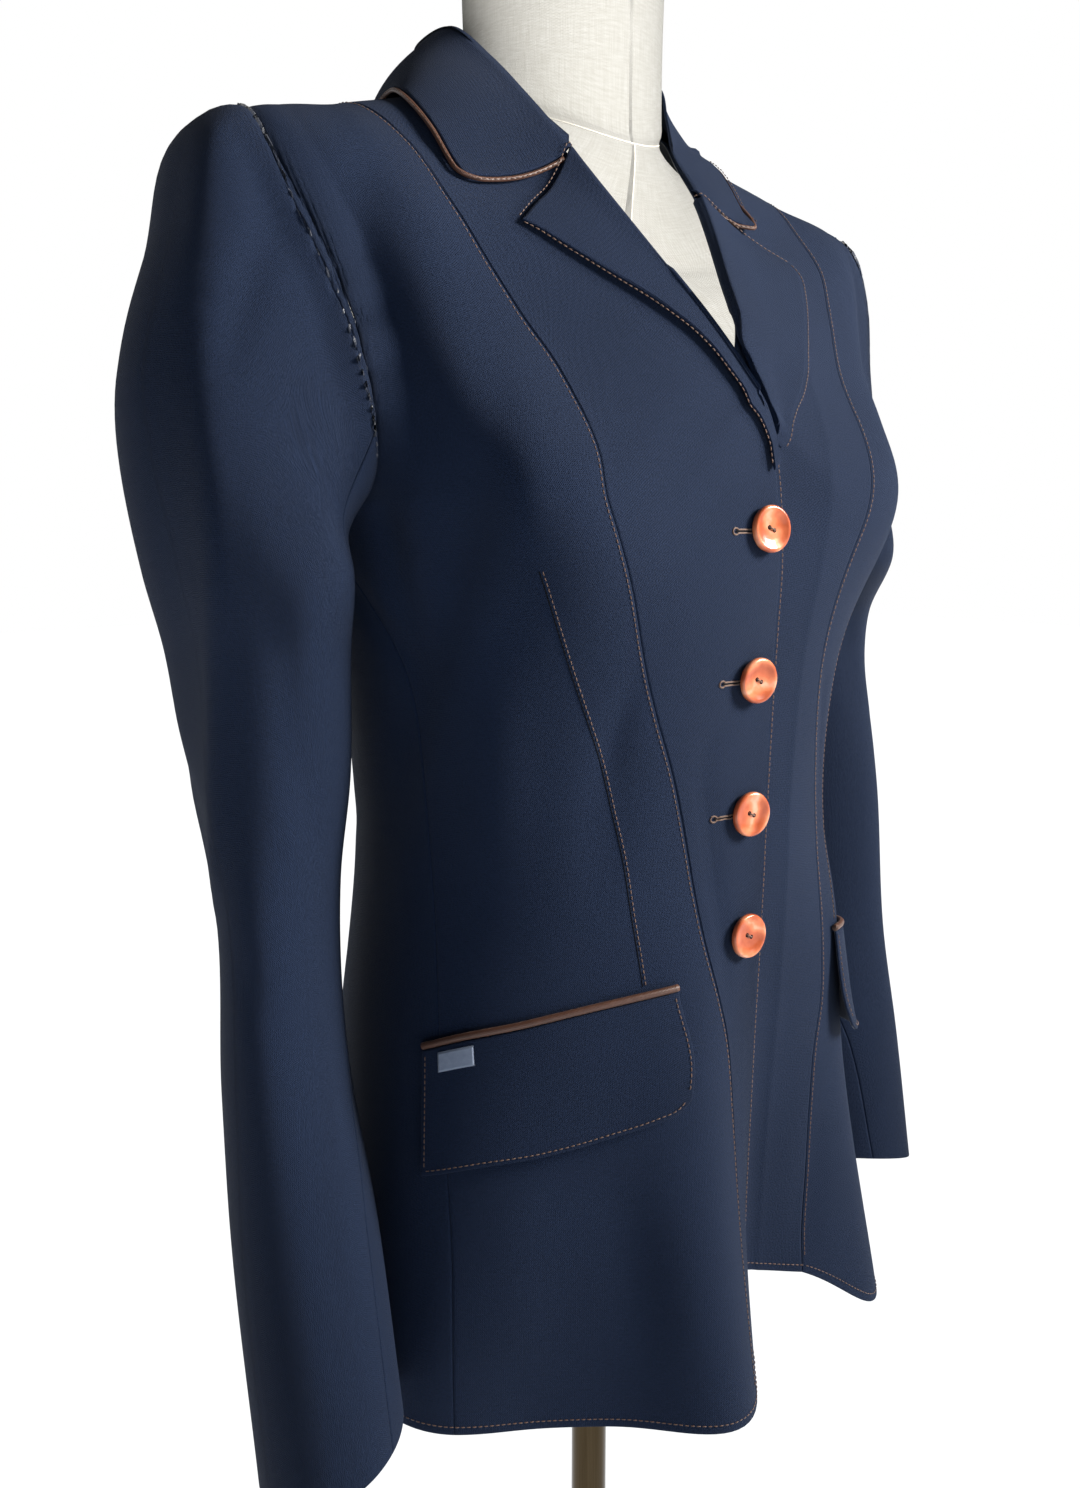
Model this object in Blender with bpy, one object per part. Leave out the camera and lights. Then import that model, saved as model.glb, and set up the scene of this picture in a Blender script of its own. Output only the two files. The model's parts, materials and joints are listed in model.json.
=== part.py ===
import bpy
import numpy as np

# sizes in metres, angles in degrees; +Z up, the wearer faces -Y, origin under the stand's foot
WALL = 0.0016            # cloth wall
GAP = 0.00018            # each panel stops this far short of its seam
BREAK_LEVEL = 1.252      # where the lapels start to turn
SHOULDER_TILT = 0.010    # the right shoulder stands this much higher, per metre across
CUFF_TILT = 0.34          # rise of the cuff's edge towards the front and the body
VENT_TOP = 1.000
BUTTON_RADIUS = 0.0115
BUTTON_LEVELS = (1.208, 1.134, 1.066, 1.002)
FORM_INSET = 0.0085
SEAT = 0.0021             # the form's shoulders carry the jacket here, just under its wall
FORM_BOTTOM = 0.800
NECK_TOP = 1.505
NECK_RADIUS = 0.0545
NECK_Y = 0.027
POLE_RADIUS = 0.0105
FOOT_RADIUS = 0.175

for ob in list(bpy.data.objects):
    bpy.data.objects.remove(ob, do_unlink=True)


def material(name, colour, rough, metal):
    m = bpy.data.materials.new(name)
    m.use_nodes = True
    b = m.node_tree.nodes["Principled BSDF"]
    b.inputs["Base Color"].default_value = (*colour, 1)
    b.inputs["Roughness"].default_value = rough
    b.inputs["Metallic"].default_value = metal
    return m


# finishes: colour, roughness and metallic value
CLOTH = ((0.016, 0.024, 0.042), 0.85, 0.0)
PIPING = ((0.11, 0.05, 0.03), 0.5, 0.0)
TAB = ((0.30, 0.33, 0.40), 0.6, 0.0)
BUTTON = ((0.28, 0.12, 0.05), 0.3, 0.0)
LINEN = ((0.72, 0.62, 0.48), 0.9, 0.0)
CHROME = ((0.6, 0.55, 0.5), 0.2, 1.0)
PAINT = ((0.03, 0.03, 0.03), 0.5, 0.0)


def spline(xs, ys, x):
    xs = np.asarray(xs, float)
    ys = np.asarray(ys, float)
    x = np.asarray(x, float)
    w = np.diff(xs)
    d = np.diff(ys) / w
    m = np.empty_like(ys)
    m[0], m[-1] = d[0], d[-1]
    m[1:-1] = (d[:-1] * w[1:] + d[1:] * w[:-1]) / (w[1:] + w[:-1])
    xc = np.clip(x, xs[0], xs[-1])
    i = np.clip(np.searchsorted(xs, xc, side="right") - 1, 0, len(xs) - 2)
    h = w[i]
    t = (xc - xs[i]) / h
    return ((2 * t**3 - 3 * t**2 + 1) * ys[i] + (t**3 - 2 * t**2 + t) * h * m[i]
            + (3 * t**2 - 2 * t**3) * ys[i + 1] + (t**3 - t**2) * h * m[i + 1])


def bump(x, centre, width):
    return np.exp(-((x - centre) / width) ** 2)


# body levels: level, half width, front depth, back depth, side offset,
# height at front, side and back, squareness
LEVELS = np.array([
    (0.700, .170, .120, .138, .000, 0.700, 0.700, 0.700, 2.15),
    (0.760, .166, .118, .134, .000, 0.760, 0.760, 0.760, 2.15),
    (0.850, .158, .114, .128, .000, 0.850, 0.850, 0.850, 2.15),
    (0.950, .148, .113, .120, .000, 0.950, 0.950, 0.950, 2.15),
    (1.060, .139, .113, .113, .000, 1.060, 1.060, 1.060, 2.15),
    (1.130, .148, .115, .110, .000, 1.130, 1.130, 1.130, 2.20),
    (1.200, .167, .116, .114, .000, 1.200, 1.200, 1.200, 2.30),
    (1.250, .184, .104, .119, .002, 1.250, 1.250, 1.250, 2.50),
    (1.290, .193, .085, .120, .008, 1.288, 1.299, 1.292, 2.70),
    (1.340, .205, .060, .114, .017, 1.328, 1.384, 1.348, 2.50),
    (1.380, .152, .043, .109, .020, 1.350, 1.403, 1.386, 2.10),
    (1.410, .108, .030, .104, .022, 1.376, 1.416, 1.410, 2.00),
    (1.430, .070, .018, .097, .026, 1.398, 1.430, 1.425, 2.00)])


def bust(t, v):
    return 0.020 * (bump(t, -37, 20) + bump(t, 37, 20)) * bump(v, 1.225, .052)


def folds(t, v):
    k = np.clip((1.035 - v) / .275, 0, 1.25) ** 1.2
    g = k * (.035 * bump(t, -13 + 4.6 * k, 13) - .027 * bump(t, 11, 12) + .028 * bump(t, 42, 15)
             - .006 * bump(t, -44, 14) + .005 * bump(t, -74, 14) + .005 * bump(t, 80, 14))
    g = g + k * (.009 * bump(t, -140, 16) + .010 * bump(t, 136, 15) + .006 * bump(t, 178, 14)
                 + .006 * bump(t, -182, 14))
    return g + .009 * bump(t, 62, 30) * bump(v, .99, .06)


def body(t, v, out=0.0, shape=folds):
    """Points of the garment's outer skin at angle t (0 centre front) and level v."""
    t, v = np.broadcast_arrays(np.asarray(t, float), np.asarray(v, float))

    def base(t, v):
        a, f, b, ys, zf, zs, zb, n = (spline(LEVELS[:, 0], LEVELS[:, k], v)
                                      for k in range(1, 9))
        c, s = np.cos(np.radians(t)), np.sin(np.radians(t))
        front = c >= 0
        x = np.sign(s) * a * np.abs(s) ** (2 / n)
        fy, by = f + ys, b - ys
        y = ys + np.where(front, -fy, by) * np.abs(c) ** (2 / n)
        lift = s * s
        z = np.where(front, zf, zb) * (1 - lift) + zs * lift
        z = z - SHOULDER_TILT * x * np.clip((v - 1.30) / .05, 0, 1)
        tt = (t + 180) % 360 - 180
        g = bust(tt, v) + (shape(tt, v) if shape else 0)
        nx, ny = x / a**2, (y - ys) / (fy * by)
        ln = np.hypot(nx, ny) + 1e-9
        return np.stack([x + nx / ln * g, y + ny / ln * g, z], -1)

    p = base(t, v)
    n = np.cross(base(t + .4, v) - base(t - .4, v), base(t, v + .0015) - base(t, v - .0015))
    n /= np.linalg.norm(n, axis=-1, keepdims=True) + 1e-12
    return p + n * np.asarray(out)[..., None], n


def along(points, s):
    """Smooth line through rows of values at even fractions s of its length."""
    q = np.asarray(points, float)
    scale = np.array([1 / 400, 1.0])[:q.shape[1]] if q.shape[1] == 2 else np.ones(q.shape[1])
    k = np.concatenate([[0], np.cumsum(np.linalg.norm(np.diff(q, axis=0) * scale, axis=1))])
    return np.stack([spline(k / k[-1], q[:, j], s) for j in range(q.shape[1])], -1)


def coons(left, right, bottom, top):
    """Grid [u, w] between four edge lines that share their corners."""
    nw, nu = len(left), len(bottom)
    u = np.linspace(0, 1, nu)[:, None, None]
    w = np.linspace(0, 1, nw)[None, :, None]
    return ((1 - u) * left[None] + u * right[None] + (1 - w) * bottom[:, None] + w * top[:, None]
            - (1 - u) * (1 - w) * left[0] - u * (1 - w) * right[0]
            - (1 - u) * w * left[-1] - u * w * right[-1])


def relaxed(g, rounds):
    """Grid whose inner points have settled evenly between their neighbours."""
    g = g.copy()
    for _ in range(rounds):
        g[1:-1, 1:-1] = (g[:-2, 1:-1] + g[2:, 1:-1] + g[1:-1, :-2] + g[1:-1, 2:]) / 4
    return g


def trimmed(p, gap=GAP):
    p = p.copy()
    for a, b in ((0, 1), (-1, -2)):
        d = p[b] - p[a]
        p[a] += d / (np.linalg.norm(d, axis=-1, keepdims=True) + 1e-9) * gap
    for a, b in ((0, 1), (-1, -2)):
        d = p[:, b] - p[:, a]
        p[:, a] += d / (np.linalg.norm(d, axis=-1, keepdims=True) + 1e-9) * gap
    return p


def grid_normals(p, closed=False):
    if closed:
        du = np.roll(p, -1, 0) - np.roll(p, 1, 0)
    else:
        du = np.gradient(p, axis=0)
    n = np.cross(du, np.gradient(p, axis=1))
    return n / (np.linalg.norm(n, axis=-1, keepdims=True) + 1e-12)


def add_mesh(name, verts, faces, finish, smooth=True):
    me = bpy.data.meshes.new(name)
    me.from_pydata([tuple(map(float, v)) for v in verts], [], faces)
    me.materials.append(material(name, *finish))
    for f in me.polygons:
        f.use_smooth = smooth
    me.update()
    ob = bpy.data.objects.new(name, me)
    bpy.context.collection.objects.link(ob)
    return ob


def sheet(name, p, n, finish=CLOTH, wall=WALL, flip=False):
    """Closed wall from an outer grid and its outward normals."""
    nu, nw = p.shape[:2]
    outer, inner = p.reshape(-1, 3), (p - n * wall).reshape(-1, 3)
    m = nu * nw

    def k(i, j):
        return i * nw + j

    faces = []
    for i in range(nu - 1):
        for j in range(nw - 1):
            q = [k(i, j), k(i + 1, j), k(i + 1, j + 1), k(i, j + 1)]
            faces.append(q)
            faces.append([x + m for x in reversed(q)])
    rim = ([k(i, 0) for i in range(nu)] + [k(nu - 1, j) for j in range(1, nw)]
           + [k(i, nw - 1) for i in range(nu - 2, -1, -1)] + [k(0, j) for j in range(nw - 2, 0, -1)])
    for a, b in zip(rim, rim[1:] + rim[:1]):
        faces.append([b, a, a + m, b + m])
    if flip:
        faces = [list(reversed(f)) for f in faces]
    return add_mesh(name, np.concatenate([outer, inner]), faces, finish)


def rings(name, p, finish, cap=True, smooth=True):
    """Closed body from rings p[ring, point]; ends capped by fans."""
    nr, npt = p.shape[:2]
    verts = list(p.reshape(-1, 3))
    faces = []
    for i in range(nr - 1):
        for j in range(npt):
            a, b = i * npt + j, i * npt + (j + 1) % npt
            faces.append([a, b, b + npt, a + npt])
    for end, ring in ((0, 0), (1, nr - 1)):
        c = len(verts)
        verts.append(p[ring].mean(0))
        for j in range(npt):
            a, b = ring * npt + j, ring * npt + (j + 1) % npt
            faces.append([c, b, a] if end == 0 else [c, a, b])
    return add_mesh(name, verts, faces, finish, smooth)


def tube(name, line, radius, finish, sides=8):
    line = np.asarray(line, float)
    tan = np.gradient(line, axis=0)
    tan /= np.linalg.norm(tan, axis=1, keepdims=True)
    up = np.array([0.3, 0.2, 1.0])
    a = np.cross(tan, up)
    a /= np.linalg.norm(a, axis=1, keepdims=True)
    b = np.cross(tan, a)
    q = np.linspace(0, 2 * np.pi, sides, endpoint=False)
    p = line[:, None] + radius * (a[:, None] * np.cos(q)[None, :, None]
                                  + b[:, None] * np.sin(q)[None, :, None])
    return rings(name, p, finish)


# seam lines as (angle, level), hem to shoulder
PRINCESS_RIGHT = [(-3.6, .757), (-3.4, .80), (-3.4, .87), (-3.8, .91), (-5, .952), (-6.8, .972),
                  (-10.5, 1.004),
                  (-14, 1.042), (-18.5, 1.09), (-22, 1.12), (-24.5, 1.148), (-26.5, 1.176),
                  (-28.5, 1.204), (-29, 1.222), (-27, 1.244), (-26.3, 1.265), (-26.3, 1.284),
                  (-28, 1.300), (-29.5, 1.316), (-33, 1.336), (-41, 1.354), (-51, 1.368),
                  (-63, 1.377), (-76, 1.382), (-90, 1.384)]
PRINCESS_LEFT = [(23.5, .784), (23.6, .804), (25, .846), (26, .890), (27.5, .920), (30, .946),
                 (31, .98), (31.5, 1.014), (31.5, 1.044), (29, 1.074), (25.7, 1.106),
                 (23.7, 1.138), (23.0, 1.19), (25.5, 1.222), (26.5, 1.258), (26.5, 1.284),
                 (28.5, 1.306), (32, 1.33), (40, 1.35), (50, 1.366), (63, 1.377), (76, 1.382),
                 (90, 1.384)]
SIDE_FRONT_RIGHT = [(-62, .758), (-63, .80), (-64.5, .854), (-67, .896), (-71.5, .962),
                    (-75, 1.012), (-77.5, 1.052), (-79, 1.098), (-81, 1.14), (-87, 1.175),
                    (-91, 1.200), (-92, 1.219)]
ARMHOLE_FRONT = [(92, 1.219), (83, 1.222), (75, 1.232), (70, 1.248), (68, 1.262),
                 (67.3, 1.280), (67.5, 1.298), (68.5, 1.310), (72, 1.322), (78.5, 1.334),
                 (90, 1.3445)]
SIDE_BACK = [(117, .752), (117.5, .85), (118, .95), (118, 1.02), (116, 1.10), (111, 1.17),
             (105, 1.225)]
ARMHOLE_BACK = [(105, 1.225), (110, 1.236), (114, 1.256), (115.5, 1.275), (115, 1.295),
                (111, 1.315), (103, 1.333), (90, 1.3445)]
ARMHOLE_UNDER = [(92, 1.219), (98, 1.2195), (105, 1.225)]
FRONT_EDGE = [(8, .795), (7, .84), (6, .90), (5.2, .95), (5.2, .984), (5.2, 1.038), (5.4, 1.07),
              (5.2, 1.102), (4.8, 1.142), (4.3, 1.172), (4.2, 1.22), (4.6, BREAK_LEVEL)]
UNDER_EDGE = [(2.5, .800), (2.2, .84), (1.5, .90), (-2, .96), (-6.5, 1.02), (-8, 1.10), (-7, 1.20),
              (-6, BREAK_LEVEL)]
# roll line of the right lapel in space, break to neck, and of the left one
ROLL_RIGHT = [(.0100, -.1155, BREAK_LEVEL), (.0050, -.1125, 1.266), (-.0050, -.106, 1.283),
              (-.0195, -.096, 1.306), (-.0355, -.081, 1.332), (-.0490, -.065, 1.357),
              (-.0590, -.048, 1.381), (-.0645, -.029, 1.404), (-.067, -.004, 1.421),
              (-.0695, .026, 1.4305)]
ROLL_LEFT = [(-.012, -.1105, BREAK_LEVEL), (-.008, -.108, 1.266), (.002, -.100, 1.285),
             (.0155, -.087, 1.308), (.0250, -.069, 1.333), (.0345, -.051, 1.357),
             (.0425, -.0325, 1.381), (.0490, -.0115, 1.403), (.0590, .007, 1.420),
             (.0695, .026, 1.4305)]
SEAM_ROWS, ARM_ROWS = 17, 10
ROWS = SEAM_ROWS + ARM_ROWS - 1


def mirror(line):
    return [(-t, v) for t, v in line]


def joined(*lines_rows):
    parts = []
    for k, (line, rows) in enumerate(lines_rows):
        q = along(line, np.linspace(0, 1, rows))
        parts.append(q if k == 0 else q[1:])
    return np.concatenate(parts)


def hem_line(t0, v0, t1, v1, n, rise=()):
    t = np.linspace(t0, t1, n)
    v = np.linspace(v0, v1, n)
    for c, w, a in rise:
        k = bump(t, c, w)
        k0, k1 = bump(t0, c, w), bump(t1, c, w)
        v = v + a * (k - np.linspace(k0, k1, n))
    return np.stack([t, v], -1)


def angle_level(p):
    """Angle and level on the skin nearest a point of the roll line."""
    tt, vv = np.meshgrid(np.linspace(-95, 95, 381), np.linspace(1.2, 1.43, 231))
    q = body(tt, vv)[0]
    out = []
    for x in p:
        k = np.argmin(((q - x) ** 2).sum(-1))
        out.append((tt.flat[k], vv.flat[k]))
    return np.array(out)


PANELS = {}


def front_panel(side):
    """Front between its edge, roll line and neck, and the princess seam."""
    s = -1 if side == "right" else 1
    low = 15
    edge = along(FRONT_EDGE if side == "right" else UNDER_EDGE, np.linspace(0, 1, low))
    roll = along(ROLL_RIGHT if side == "right" else ROLL_LEFT, np.linspace(0, 1, ROWS - low + 1))
    neck = body(90.0 * s, 1.43)[0]
    roll = roll + (neck - roll[-1]) * np.linspace(0, 1, len(roll))[:, None] ** 3
    rp = angle_level(roll)
    rp[0] = edge[-1]
    rp[-1] = (90 * s, 1.43)
    left = np.concatenate([edge, rp[1:]])
    right = along(PRINCESS_RIGHT if side == "right" else PRINCESS_LEFT, np.linspace(0, 1, ROWS))
    nu = 7
    bottom = hem_line(*left[0], *right[0], nu)
    if side == "right":
        u = np.linspace(0, 1, nu)
        bottom[:, 1] = right[0, 1] + (left[0, 1] - right[0, 1]) * (1 - u) ** 1.6
    top = np.stack([np.full(nu, 90.0 * s), np.linspace(1.43, right[-1, 1], nu)], -1)
    g = coons(left, right, bottom, top)
    under = 0
    if side == "left":
        under = -.0042 * np.clip((15 - g[..., 0]) / 9, 0, 1) ** .8 * (g[..., 1] < BREAK_LEVEL + .05)
    p, n = body(g[..., 0], g[..., 1], under)
    skin = body(left[:, 0], left[:, 1])[0]
    delta = np.zeros((ROWS, 3))
    delta[low - 1:] = roll - skin[low - 1:]
    if side == "left":
        delta[low - 1] = 0
    k = np.arange(ROWS)
    ease = (1 - np.linspace(0, 1, nu)) ** 1.5
    fade = np.interp(k, [0, low - 4, low - 1], [0, 0, 1])
    delta[:low - 1] = delta[low - 1] * fade[:low - 1, None]
    p = p + ease[:, None, None] * delta[None]
    gn = grid_normals(p)
    gn *= np.sign((gn * n).sum(-1, keepdims=True))
    mix = np.clip(np.linalg.norm(delta, axis=1) / .004, 0, 1)[None, :, None] * ease[:, None, None]
    n = n * (1 - mix) + gn * mix
    n /= np.linalg.norm(n, axis=-1, keepdims=True)
    PANELS["front_" + side] = (g, p, n)
    sheet("front_" + side, trimmed(p), n, flip=s < 0)


def side_front(side):
    s = -1 if side == "right" else 1
    left = along(PRINCESS_RIGHT if side == "right" else PRINCESS_LEFT, np.linspace(0, 1, ROWS))
    seam = SIDE_FRONT_RIGHT if side == "right" else mirror(SIDE_FRONT_RIGHT)
    arm = mirror(ARMHOLE_FRONT) if side == "right" else ARMHOLE_FRONT
    right = joined((seam, SEAM_ROWS), (arm, ARM_ROWS))
    nu = 7
    dip = [(39, 11, -.026)] if side == "left" else []
    bottom = hem_line(*left[0], *right[0], nu, dip)
    top = np.stack([np.full(nu, 90.0 * s), np.linspace(left[-1, 1], right[-1, 1], nu)], -1)
    g = coons(left, right, bottom, top)
    p, n = body(g[..., 0], g[..., 1])
    PANELS["side_front_" + side] = (g, p, n)
    sheet("side_front_" + side, trimmed(p), n, flip=s < 0)


def side_panel(side):
    s = -1 if side == "right" else 1
    seam = np.array(mirror(SIDE_FRONT_RIGHT)) * (s, 1)
    left = along(seam, np.linspace(0, 1, SEAM_ROWS))
    right = along(np.array(SIDE_BACK) * (s, 1), np.linspace(0, 1, SEAM_ROWS))
    nu = 7
    bottom = hem_line(*left[0], *right[0], nu, [(s * 84, 16, .006)])
    top = along(np.array(ARMHOLE_UNDER) * (s, 1), np.linspace(0, 1, nu))
    g = coons(left, right, bottom, top)
    spread = .0045 * np.clip((VENT_TOP - g[..., 1]) / .24, 0, 1) * bump(g[..., 0] * s, 119, 14)
    p, n = body(g[..., 0], g[..., 1], spread)
    PANELS["side_panel_" + side] = (g, p, n)
    sheet("side_panel_" + side, trimmed(p), n, flip=s < 0)


def back_panel(side):
    s = -1 if side == "right" else 1
    seam = np.array(SIDE_BACK) * (s, 1)
    shoulder = [(90.0 * s, v) for v in (1.3445, 1.365, 1.385, 1.407, 1.43)]
    left = joined((seam, SEAM_ROWS), (np.array(ARMHOLE_BACK) * (s, 1), ARM_ROWS), (shoulder, 8))
    vent = left[:, 1] < VENT_TOP
    left[vent, 0] += s * .9 * np.clip((VENT_TOP - left[vent, 1]) / .05, 0, 1)
    nu = 8
    level = np.interp(np.arange(len(left)), [0, SEAM_ROWS - 1, ROWS - 1, len(left) - 1],
                      [.748, 1.235, 1.365, 1.43])
    right = np.stack([np.full(len(left), 180.0 * s), level], -1)
    bottom = hem_line(*left[0], *right[0], nu)
    neck = np.stack([np.linspace(90, 180, nu) * s, np.full(nu, 1.43)], -1)
    g = relaxed(coons(left, right, bottom, neck), 60)
    p, n = body(g[..., 0], g[..., 1])
    PANELS["back_" + side] = (g, p, n)
    sheet("back_" + side, trimmed(p), n, flip=s < 0)


def on_panel(name, u, w, out=0.0):
    """Point of a panel at fraction u across and row w, moved out along its normal."""
    g, p, n = PANELS[name]
    nu, nw = p.shape[:2]
    u, w, out = np.broadcast_arrays(np.asarray(u, float), np.asarray(w, float),
                                    np.asarray(out, float))
    x = np.clip(u, 0, 1) * (nu - 1)
    i, j = np.clip(x.astype(int), 0, nu - 2), np.clip(w.astype(int), 0, nw - 2)
    a, b = (x - i)[..., None], (w - j)[..., None]

    def mix(f):
        return ((f[i, j] * (1 - a) + f[i + 1, j] * a) * (1 - b)
                + (f[i, j + 1] * (1 - a) + f[i + 1, j + 1] * a) * b)

    return mix(p) + mix(n) * out[..., None]


# lapel outlines on the front panels, as (fraction across, row)
LAPEL_RIGHT = dict(roll=[(0, 13.6), (0, 16), (0, 18.6), (0, 21.3)],
                   edge=[(.035, 13.6), (.036, 14.3), (.036, 15.0), (.040, 15.6), (.055, 16.3),
                         (.10, 17.05), (.19, 17.9), (.335, 18.8), (.485, 19.45), (.595, 19.8)],
                   top=[(0, 21.3), (.14, 20.95), (.36, 20.4), (.595, 19.8)])
LAPEL_LEFT = dict(roll=[(.215, 14.7), (.13, 15.5), (.05, 16.2), (0, 16.8), (0, 18.8), (0, 21.2)],
                  edge=[(.245, 14.7), (.30, 15.7), (.38, 16.4), (.49, 17.45), (.59, 18.5),
                        (.675, 19.5), (.66, 20.0)],
                  top=[(0, 21.2), (.22, 21.0), (.44, 20.6), (.66, 20.0)])


def lapel(side):
    s = -1 if side == "right" else 1
    t = LAPEL_RIGHT if side == "right" else LAPEL_LEFT
    rows, cols = 13, 6
    e = np.linspace(0, 1, rows)
    roll, edge = along3(t["roll"], e), along3(t["edge"], e)
    top = along3(t["top"], np.linspace(0, 1, cols))
    low = np.linspace(0, 1, cols)[:, None] * (edge[0] - roll[0]) + roll[0]
    g = coons(roll, edge, low, top)
    name = "front_" + side
    a = np.linspace(0, 1, cols)[:, None]
    lift = .0031 + .0016 * np.exp(-(a / .35) ** 2) * (g[:1, :, 1] > 15)
    leaf = on_panel(name, g[..., 0], g[..., 1], lift)
    tan = on_panel(name, g[0, :, 0], g[0, :, 1]) - on_panel(name, g[0, :, 0] + .03, g[0, :, 1])
    tan /= np.linalg.norm(tan, axis=-1, keepdims=True)
    n = on_panel(name, g[0, :, 0], g[0, :, 1], 1.0) - on_panel(name, g[0, :, 0], g[0, :, 1])
    wrap = np.clip((g[0, :, 1] - (13.8 if side == "right" else 16.3)) / 1.2, 0, 1)
    root = on_panel(name, g[0, :, 0], g[0, :, 1])
    curl = []
    for fwd, out in ((.0024, -.0016), (.0032, .0004), (.0022, .0030)):
        flat = (-.0002 * (3 - len(curl)), .0031)
        curl.append(root + tan * (fwd * wrap + flat[0] * -1 * (1 - wrap))[:, None]
                    + n * (out * wrap + flat[1] * (1 - wrap))[:, None])
    p = np.concatenate([np.stack(curl), leaf])
    gn = grid_normals(p)
    gn *= -1 if side == "right" else 1
    sheet("lapel_" + side, trimmed(p, .0001), gn, flip=s < 0)
    PANELS["lapel_" + side] = (g, p, gn)


def along3(points, s):
    q = np.asarray(points, float)
    k = np.arange(len(q)) / (len(q) - 1)
    return np.stack([np.interp(s, k, q[:, j]) for j in range(q.shape[1])], -1)


# collar lines from each notch to the centre back
FOLD_BACK = [(.0725, .0300, 1.4570), (.0680, .0620, 1.458), (.0430, .0950, 1.459), (0, .1075, 1.459)]
EDGE_BACK = [(.1060, .0590, 1.4130), (.0850, .0900, 1.400), (.0460, .1135, 1.389), (0, .1190, 1.385)]
FOOT_BACK = [(.0700, .0280, 1.4345), (.0640, .0600, 1.432), (.0400, .0890, 1.4285),
             (0, .0985, 1.4275)]
FOLD_FRONT = dict(right=[(.0610, -.0472, 1.3880), (.0675, -.0238, 1.4135), (.0710, .0000, 1.4360)],
                  left=[(.0400, -.0300, 1.3845), (.0455, -.0115, 1.4055), (.0590, .0070, 1.4300)])
EDGE_FRONT = dict(right=[(.1190, -.0370, 1.3680), (.1225, -.0200, 1.3935), (.1225, .0030, 1.4130),
                         (.1130, .0300, 1.4210)],
                  left=[(.0840, -.0400, 1.3720), (.0855, -.0260, 1.3830), (.0900, -.0050, 1.3960),
                        (.0970, .0250, 1.4180)])
FOOT_FRONT = dict(right=[(.0545, -.0395, 1.3965), (.0598, -.0180, 1.4140), (.0650, .0030, 1.4280)],
                  left=[(.0450, -.0240, 1.3935), (.0515, -.0055, 1.4110), (.0620, .0100, 1.4265)])


def whole(front, back, n):
    r = np.array(front["right"] + back) * (-1, 1, 1)
    q = np.array(front["left"] + back[:-1])[::-1]
    return along(np.concatenate([r, q]), np.linspace(0, 1, n))


def cleared(p, names, margin):
    """Points moved out of the panels' skins until they stand off by the margin."""
    skin, nrm = [], []
    for name in names:
        nw = PANELS[name][1].shape[1]
        u, w = np.meshgrid(np.linspace(0, 1, 36), np.linspace(0, nw - 1, (nw - 1) * 4 + 1),
                           indexing="ij")
        a = on_panel(name, u, w)
        skin.append(a.reshape(-1, 3))
        nrm.append((on_panel(name, u, w, 1.0) - a).reshape(-1, 3))
    skin, nrm = np.concatenate(skin), np.concatenate(nrm)
    q = p.reshape(-1, 3).copy()
    for i, x in enumerate(q):
        d = np.linalg.norm(skin - x, axis=1)
        k = np.argsort(d)[:5]
        gap = ((x - skin[k]) * nrm[k]).sum(-1).min()
        if d[k[0]] < .03 and gap < margin:
            q[i] = x + nrm[k[0]] * (margin - gap)
    return q.reshape(p.shape)


def collar():
    n = 31
    fold = whole(FOLD_FRONT, FOLD_BACK, n)
    edge = whole(EDGE_FRONT, EDGE_BACK, n)
    foot = whole(FOOT_FRONT, FOOT_BACK, n)
    out = edge - fold
    out[:, 2] = 0
    out /= np.linalg.norm(out, axis=1, keepdims=True)
    rows = [foot + out * .001, foot * .5 + fold * .5 + out * .001 - [0, 0, .001]]
    i = np.arange(n)
    arch = .010 * (1 - 1.8 * np.exp(-(np.minimum(i, n - 1 - i) / 2.4) ** 2)) * np.where(i < n / 2, 1, .8)
    for c in (0, .14, .34, .56, .78, 1):
        ctrl = fold * .45 + edge * .55 + (out + [0, 0, 1]) * arch[:, None]
        q = fold * (1 - c) ** 2 + 2 * c * (1 - c) * ctrl + edge * c * c
        rows.append(q + [0, 0, .0015 * (c == 0)])
    p = np.stack(rows)
    near = ["front_right", "front_left", "side_front_right", "side_front_left", "back_right",
            "back_left"]
    fall = cleared(p[3:], near, .0034)
    fall = cleared(fall, near, .0034)
    p = np.concatenate([p[:3], fall])
    gn = grid_normals(p)
    sheet("collar", p, -gn, wall=.0018, flip=True)
    PANELS["collar"] = (None, p, -gn)
    d = (p[-1] - p[-2]) / np.linalg.norm(p[-1] - p[-2], axis=1, keepdims=True)
    line = cleared(p[-1] + d * .0037 + gn[-1] * .0009, near, .0030)
    tube("collar_piping", along(line, np.linspace(0, 1, 34)), .0015, PIPING, 6)


# hollow below each sleeve head: depth, level, height, direction and width in degrees
SLEEVE_DENT = dict(right=(.0120, 1.345, .045, -25, 60), left=(.026, 1.323, .030, 36, 58))
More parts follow.
